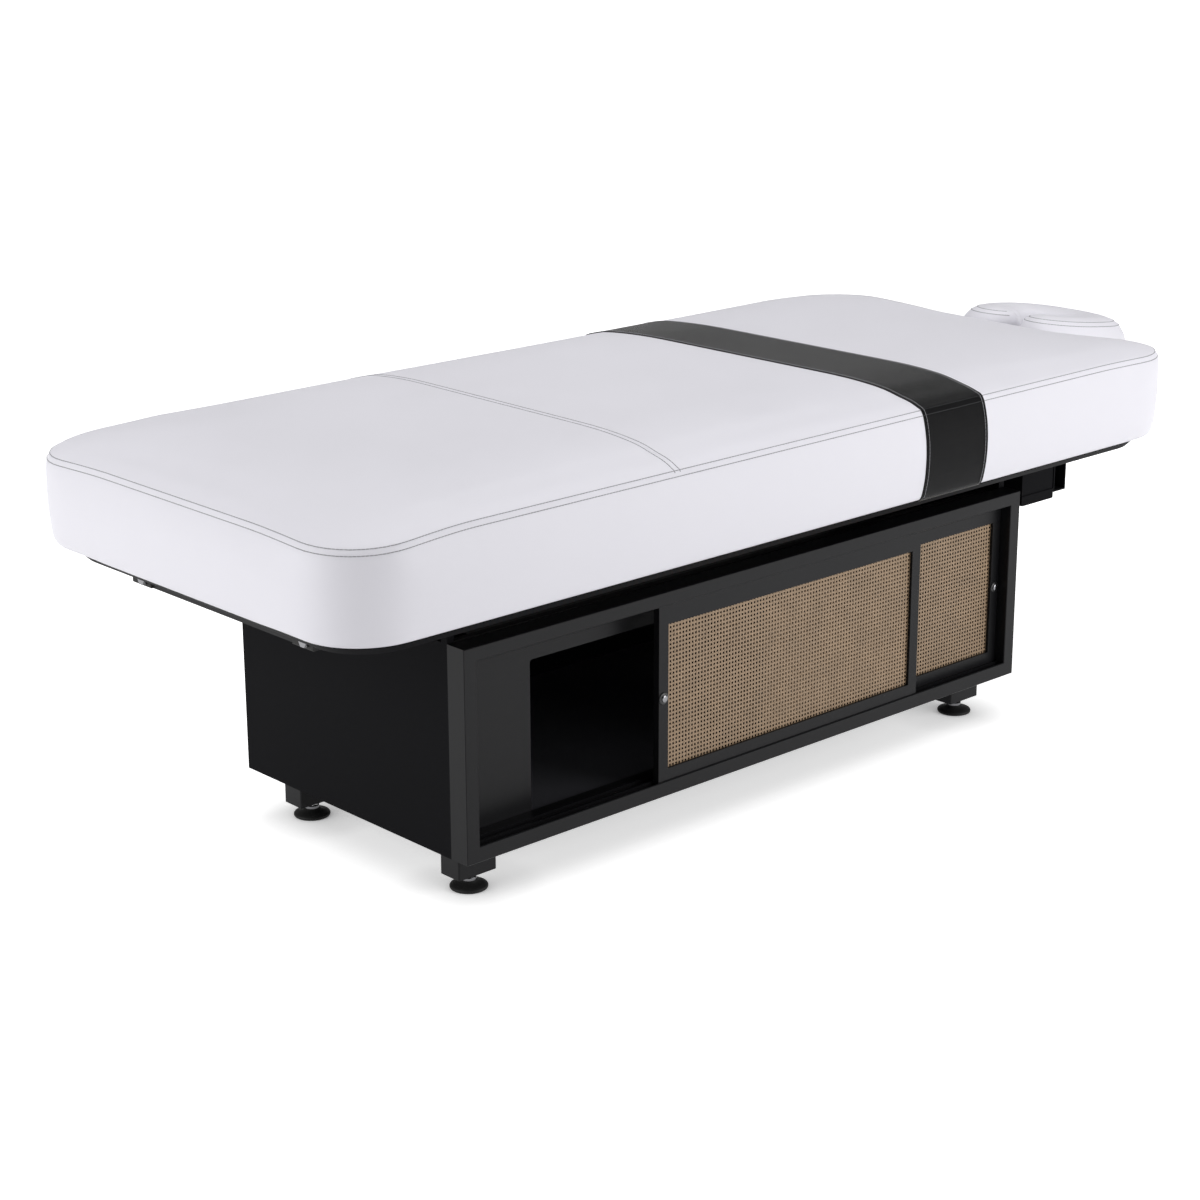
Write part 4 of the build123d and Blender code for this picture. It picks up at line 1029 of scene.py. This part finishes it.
# Profiles of the turned pieces, radii as shares of the whole. The heights of the knob's head and
# the foot's disc are shares too, the others are metres.
ROSETTE = (
    (0, -0.0012), (0.93, -0.0012), (1, -0.0002), (1, 0.0006), (0.94, 0.0013),
    (0.8, 0.0012), (0.72, 0.0018), (0.5, 0.002), (0, 0.002),
)
KNOB_NECK = ((0, 0.0016), (0.38, 0.0016), (0.34, 0.0022))
KNOB_HEAD = ((0.36, 0.55), (0.53, 0.66), (0.56, 0.8), (0.46, 0.93), (0.24, 0.99), (0, 1))
FOOT_DISC = (
    (0, 0), (0.9, 0), (0.97, 0.05), (1, 0.16), (1, 0.3), (0.96, 0.42),
    (0.74, 0.6), (0.52, 0.76), (0.45, 0.92), (0.42, 1), (0, 1),
)


def scaled(profile, radius, height=1):
    """A profile with its radii and heights at full size."""
    return [(radius * share, height * level) for share, level in profile]


class TABLE_OT_pulls(bpy.types.Operator):
    """Make the round pulls of both doors"""

    bl_idname = "treatment_table.pulls"
    bl_label = "Door Pulls"

    def execute(self, context):
        for door in ("front_door", "rear_door"):
            low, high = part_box(door + "_pull")
            radius = (high.z - low.z) / 2
            face_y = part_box(door + "_frame")[0].y
            axis = Vector(((low.x + high.x) / 2, face_y, (low.z + high.z) / 2))
            plate = turned("plate", axis, scaled(ROSETTE, radius))
            finish_piece(plate, door + "_rosette", door, "pull_black", angle=50)
            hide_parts(door + "_pull")
            knob = scaled(KNOB_NECK, radius) + scaled(KNOB_HEAD, radius, face_y - low.y)
            button = turned("button", axis, knob)
            finish_piece(button, door + "_knob", door, "bright_chrome", "smoked_chrome", angle=50)
        return {"FINISHED"}


class TABLE_OT_feet(bpy.types.Operator):
    """Make the flared pads of the four levelling feet"""

    bl_idname = "treatment_table.feet"
    bl_label = "Levelling Feet"

    def execute(self, context):
        for index in range(1, 5):
            low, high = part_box("foot_pad_%d" % index)
            axis = Vector(((low.x + high.x) / 2, (low.y + high.y) / 2, low.z))
            profile = scaled(FOOT_DISC, (high.x - low.x) / 2, high.z - low.z)
            disc = turned("pad", axis, profile, steps=48, upright=True)
            finish_piece(disc, "foot_disc_%d" % index, "foot_%d" % index, "black_rubber", angle=40)
            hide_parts("foot_pad_%d" % index)
        return {"FINISHED"}


def cane_cell(sizes):
    """One repeat of the weave: two strands each way, each over and under the next."""
    deselect()
    pitch = sizes.pitch
    strips = []
    for phase, side in ((1, -0.5), (-1, 0.5)):
        for along_x in (True, False):
            bpy.ops.mesh.primitive_grid_add(x_subdivisions=4, y_subdivisions=1, size=1)
            strip = bpy.context.object
            strip.scale = (2 * pitch, sizes.strand, 1)
            place(strip)
            for vertex in strip.data.vertices:
                wave = math.sin(math.pi * (vertex.co.x + pitch) / pitch) * phase
                vertex.co.z = wave * (1 if along_x else -1) * sizes.thickness / 2
            strip.location = (0, side * pitch, 0)
            if not along_x:
                strip.rotation_euler = (0, 0, math.pi / 2)
                strip.location = (side * pitch, 0, 0)
            place(strip)
            strips.append(strip)
    cell = join(strips)
    apply_modifier(cell, "SOLIDIFY", thickness=sizes.thickness, offset=0)
    return cell


def cane_panel(name, node, body, sizes):
    """Woven cane filling one door frame."""
    low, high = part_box(node)
    panel = cane_cell(sizes)
    step = 2 * sizes.pitch
    across = int((high.x - low.x) / step)
    up = int((high.z - low.z) / step)
    repeat(panel, across, (step, 0, 0))
    repeat(panel, up, (0, step, 0))
    panel.rotation_euler = (math.pi / 2, 0, 0)
    panel.location = (
        (low.x + high.x) / 2 - (across - 1) * step / 2,
        (low.y + high.y) / 2,
        (low.z + high.z) / 2 - (up - 1) * step / 2,
    )
    finish_piece(panel, name, body, "cane", angle=40)
    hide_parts(node)


class TABLE_OT_cane(bpy.types.Operator):
    """Weave the cane of both sliding doors"""

    bl_idname = "treatment_table.cane"
    bl_label = "Cane Panels"

    def execute(self, context):
        sizes = context.scene.table_cane
        cane_panel("front_cane_weave", "front_door_cane", "front_door", sizes)
        cane_panel("rear_cane_weave", "rear_door_cane", "rear_door", sizes)
        return {"FINISHED"}


# Each lamp's name, place, aim, side in metres and power in watts.
LAMPS = (
    ("Overhead", (0.2, 0.3, 3.8), (0, 0, 0.4), 3.4, 68),
    ("Right Front", (2.0, -4.1, 1.5), (0, 0, 0.45), 2.8, 114),
    ("Foot End", (-4.2, 0.9, 1.5), (0, 0, 0.45), 2.8, 76),
)
AMBIENT = 0.28
# The camera's place from the mattress's middle in metres, its turns in radians, its lens in mm.
CAMERA_PLACE = (-2.9204, -3.0604, 1.6449)
YAW, PITCH, ROLL = 0.745, 0.308, -0.003
SENSOR, LENS = 36, 78.88
# The floor's glow, which grows from the table to the edge of the view, in metres.
GLOW_DISTANCES = (1.5, 3.5)
GLOW = (0.91, 1.05)
# How far the painted contact shadow, ambient occlusion dimming the floor's glow, reaches in metres.
SHADE_REACH = 0.1


class TABLE_OT_stage(bpy.types.Operator):
    """Set the floor, the lights and the camera"""

    bl_idname = "treatment_table.stage"
    bl_label = "Stage"

    def execute(self, context):
        context.scene.view_settings.view_transform = "Standard"
        self.make_floor()
        self.make_world(context.scene)
        for lamp in LAMPS:
            self.make_lamp(*lamp)
        self.make_camera(context.scene)
        return {"FINISHED"}

    def make_camera(self, scene):
        """The camera, at the photograph's own viewing angle."""
        data = bpy.data.cameras.new("Camera")
        data.sensor_width = SENSOR
        data.lens = LENS
        camera = new_object("Camera", data)
        level = math.cos(PITCH)
        forward = Vector((math.sin(YAW) * level, math.cos(YAW) * level, -math.sin(PITCH)))
        camera.rotation_mode = "QUATERNION"
        aim = forward.to_track_quat("-Z", "Y")
        camera.rotation_quaternion = aim @ Matrix.Rotation(ROLL, 3, "Z").to_quaternion()
        camera.location = (MATTRESS_MIDDLE + CAMERA_PLACE[0], *CAMERA_PLACE[1:])
        scene.camera = camera

    def make_floor(self):
        """A pale floor that glows for the camera and in reflections, less so near the table, its glow
        darkened by ambient occlusion into a painted contact shadow close to the feet.
        """
        deselect()
        bpy.ops.mesh.primitive_plane_add(size=60, location=(0, 0, 0))
        floor = bpy.context.object
        floor.name = "floor"
        material, tree, shader, coordinates = new_material("Studio Floor")
        shader.inputs["Base Color"].default_value = (0.86, 0.86, 0.86, 1)
        shader.inputs["Roughness"].default_value = 0.7
        rays = tree.nodes.new("ShaderNodeLightPath").outputs
        seen = calculate(tree, "MAXIMUM", rays["Is Camera Ray"], rays["Is Glossy Ray"])
        seen = calculate(tree, "MAXIMUM", seen, rays["Is Transmission Ray"])
        distance = add_node(tree, "ShaderNodeVectorMath", [(0, coordinates)], operation="LENGTH")
        level = remap(tree, distance.outputs["Value"], GLOW_DISTANCES, GLOW)
        # Ambient occlusion dims the glow where the cabinet and feet stand close: a painted contact
        # shadow.
        painted_contact_shadow = add_node(tree, "ShaderNodeAmbientOcclusion", [("Distance", SHADE_REACH)], samples=16)
        floor_glow_with_painted_shadow = calculate(tree, "MULTIPLY", level, painted_contact_shadow.outputs["AO"])
        glow = calculate(tree, "MULTIPLY", seen, floor_glow_with_painted_shadow)
        shader.inputs["Emission Color"].default_value = (1, 1, 1, 1)
        tree.links.new(glow, shader.inputs["Emission Strength"])
        floor.data.materials.append(material)

    def make_world(self, scene):
        """White to the camera, and a faint even light for all else."""
        world = bpy.data.worlds.new("Studio")
        world.use_nodes = True
        tree = world.node_tree
        background = tree.nodes["Background"]
        rays = tree.nodes.new("ShaderNodeLightPath").outputs
        seen = calculate(tree, "MAXIMUM", rays["Is Camera Ray"], rays["Is Transmission Ray"])
        background.inputs["Color"].default_value = (1, 1, 1, 1)
        strength = remap(tree, seen, (0, 1), (AMBIENT, 1))
        tree.links.new(strength, background.inputs["Strength"])
        scene.world = world

    def make_lamp(self, name, where, at, size, power):
        """A square soft lamp, aimed at a point."""
        data = bpy.data.lights.new(name, "AREA")
        data.size = size
        data.energy = power
        lamp = new_object(name, data)
        lamp.location = where
        lamp.rotation_euler = (Vector(at) - Vector(where)).to_track_quat("-Z", "Y").to_euler()


class TABLE_PT_panel(bpy.types.Panel):
    """Lists the table's sizes, colours and steps"""

    bl_label = "Treatment Table"
    bl_idname = "TABLE_PT_panel"
    bl_space_type = "VIEW_3D"
    bl_region_type = "UI"
    bl_category = "Treatment Table"

    def draw(self, context):
        for group, attribute in SETTINGS:
            box = self.layout.box()
            for name in group.__annotations__:
                box.prop(getattr(context.scene, attribute), name)
        for step in STEPS:
            self.layout.operator(step.bl_idname)


STEPS = (
    TABLE_OT_finishes,
    TABLE_OT_mattress,
    TABLE_OT_face_rest,
    TABLE_OT_pulls,
    TABLE_OT_feet,
    TABLE_OT_cane,
    TABLE_OT_stage,
)
SETTINGS = (
    (MattressSizes, "table_mattress"),
    (FaceRestSizes, "table_face_rest"),
    (CaneSizes, "table_cane"),
    (FinishColours, "table_colours"),
)


def register():
    for settings, name in SETTINGS:
        bpy.utils.register_class(settings)
        setattr(bpy.types.Scene, name, bpy.props.PointerProperty(type=settings))
    for step in STEPS:
        bpy.utils.register_class(step)
    bpy.utils.register_class(TABLE_PT_panel)


def unregister():
    bpy.utils.unregister_class(TABLE_PT_panel)
    for step in reversed(STEPS):
        bpy.utils.unregister_class(step)
    for settings, name in reversed(SETTINGS):
        delattr(bpy.types.Scene, name)
        bpy.utils.unregister_class(settings)


def main():
    register()
    bpy.ops.treatment_table.finishes()
    bpy.ops.treatment_table.mattress()
    bpy.ops.treatment_table.face_rest()
    bpy.ops.treatment_table.pulls()
    bpy.ops.treatment_table.feet()
    bpy.ops.treatment_table.cane()
    bpy.ops.treatment_table.stage()


if __name__ == "__main__":
    main()
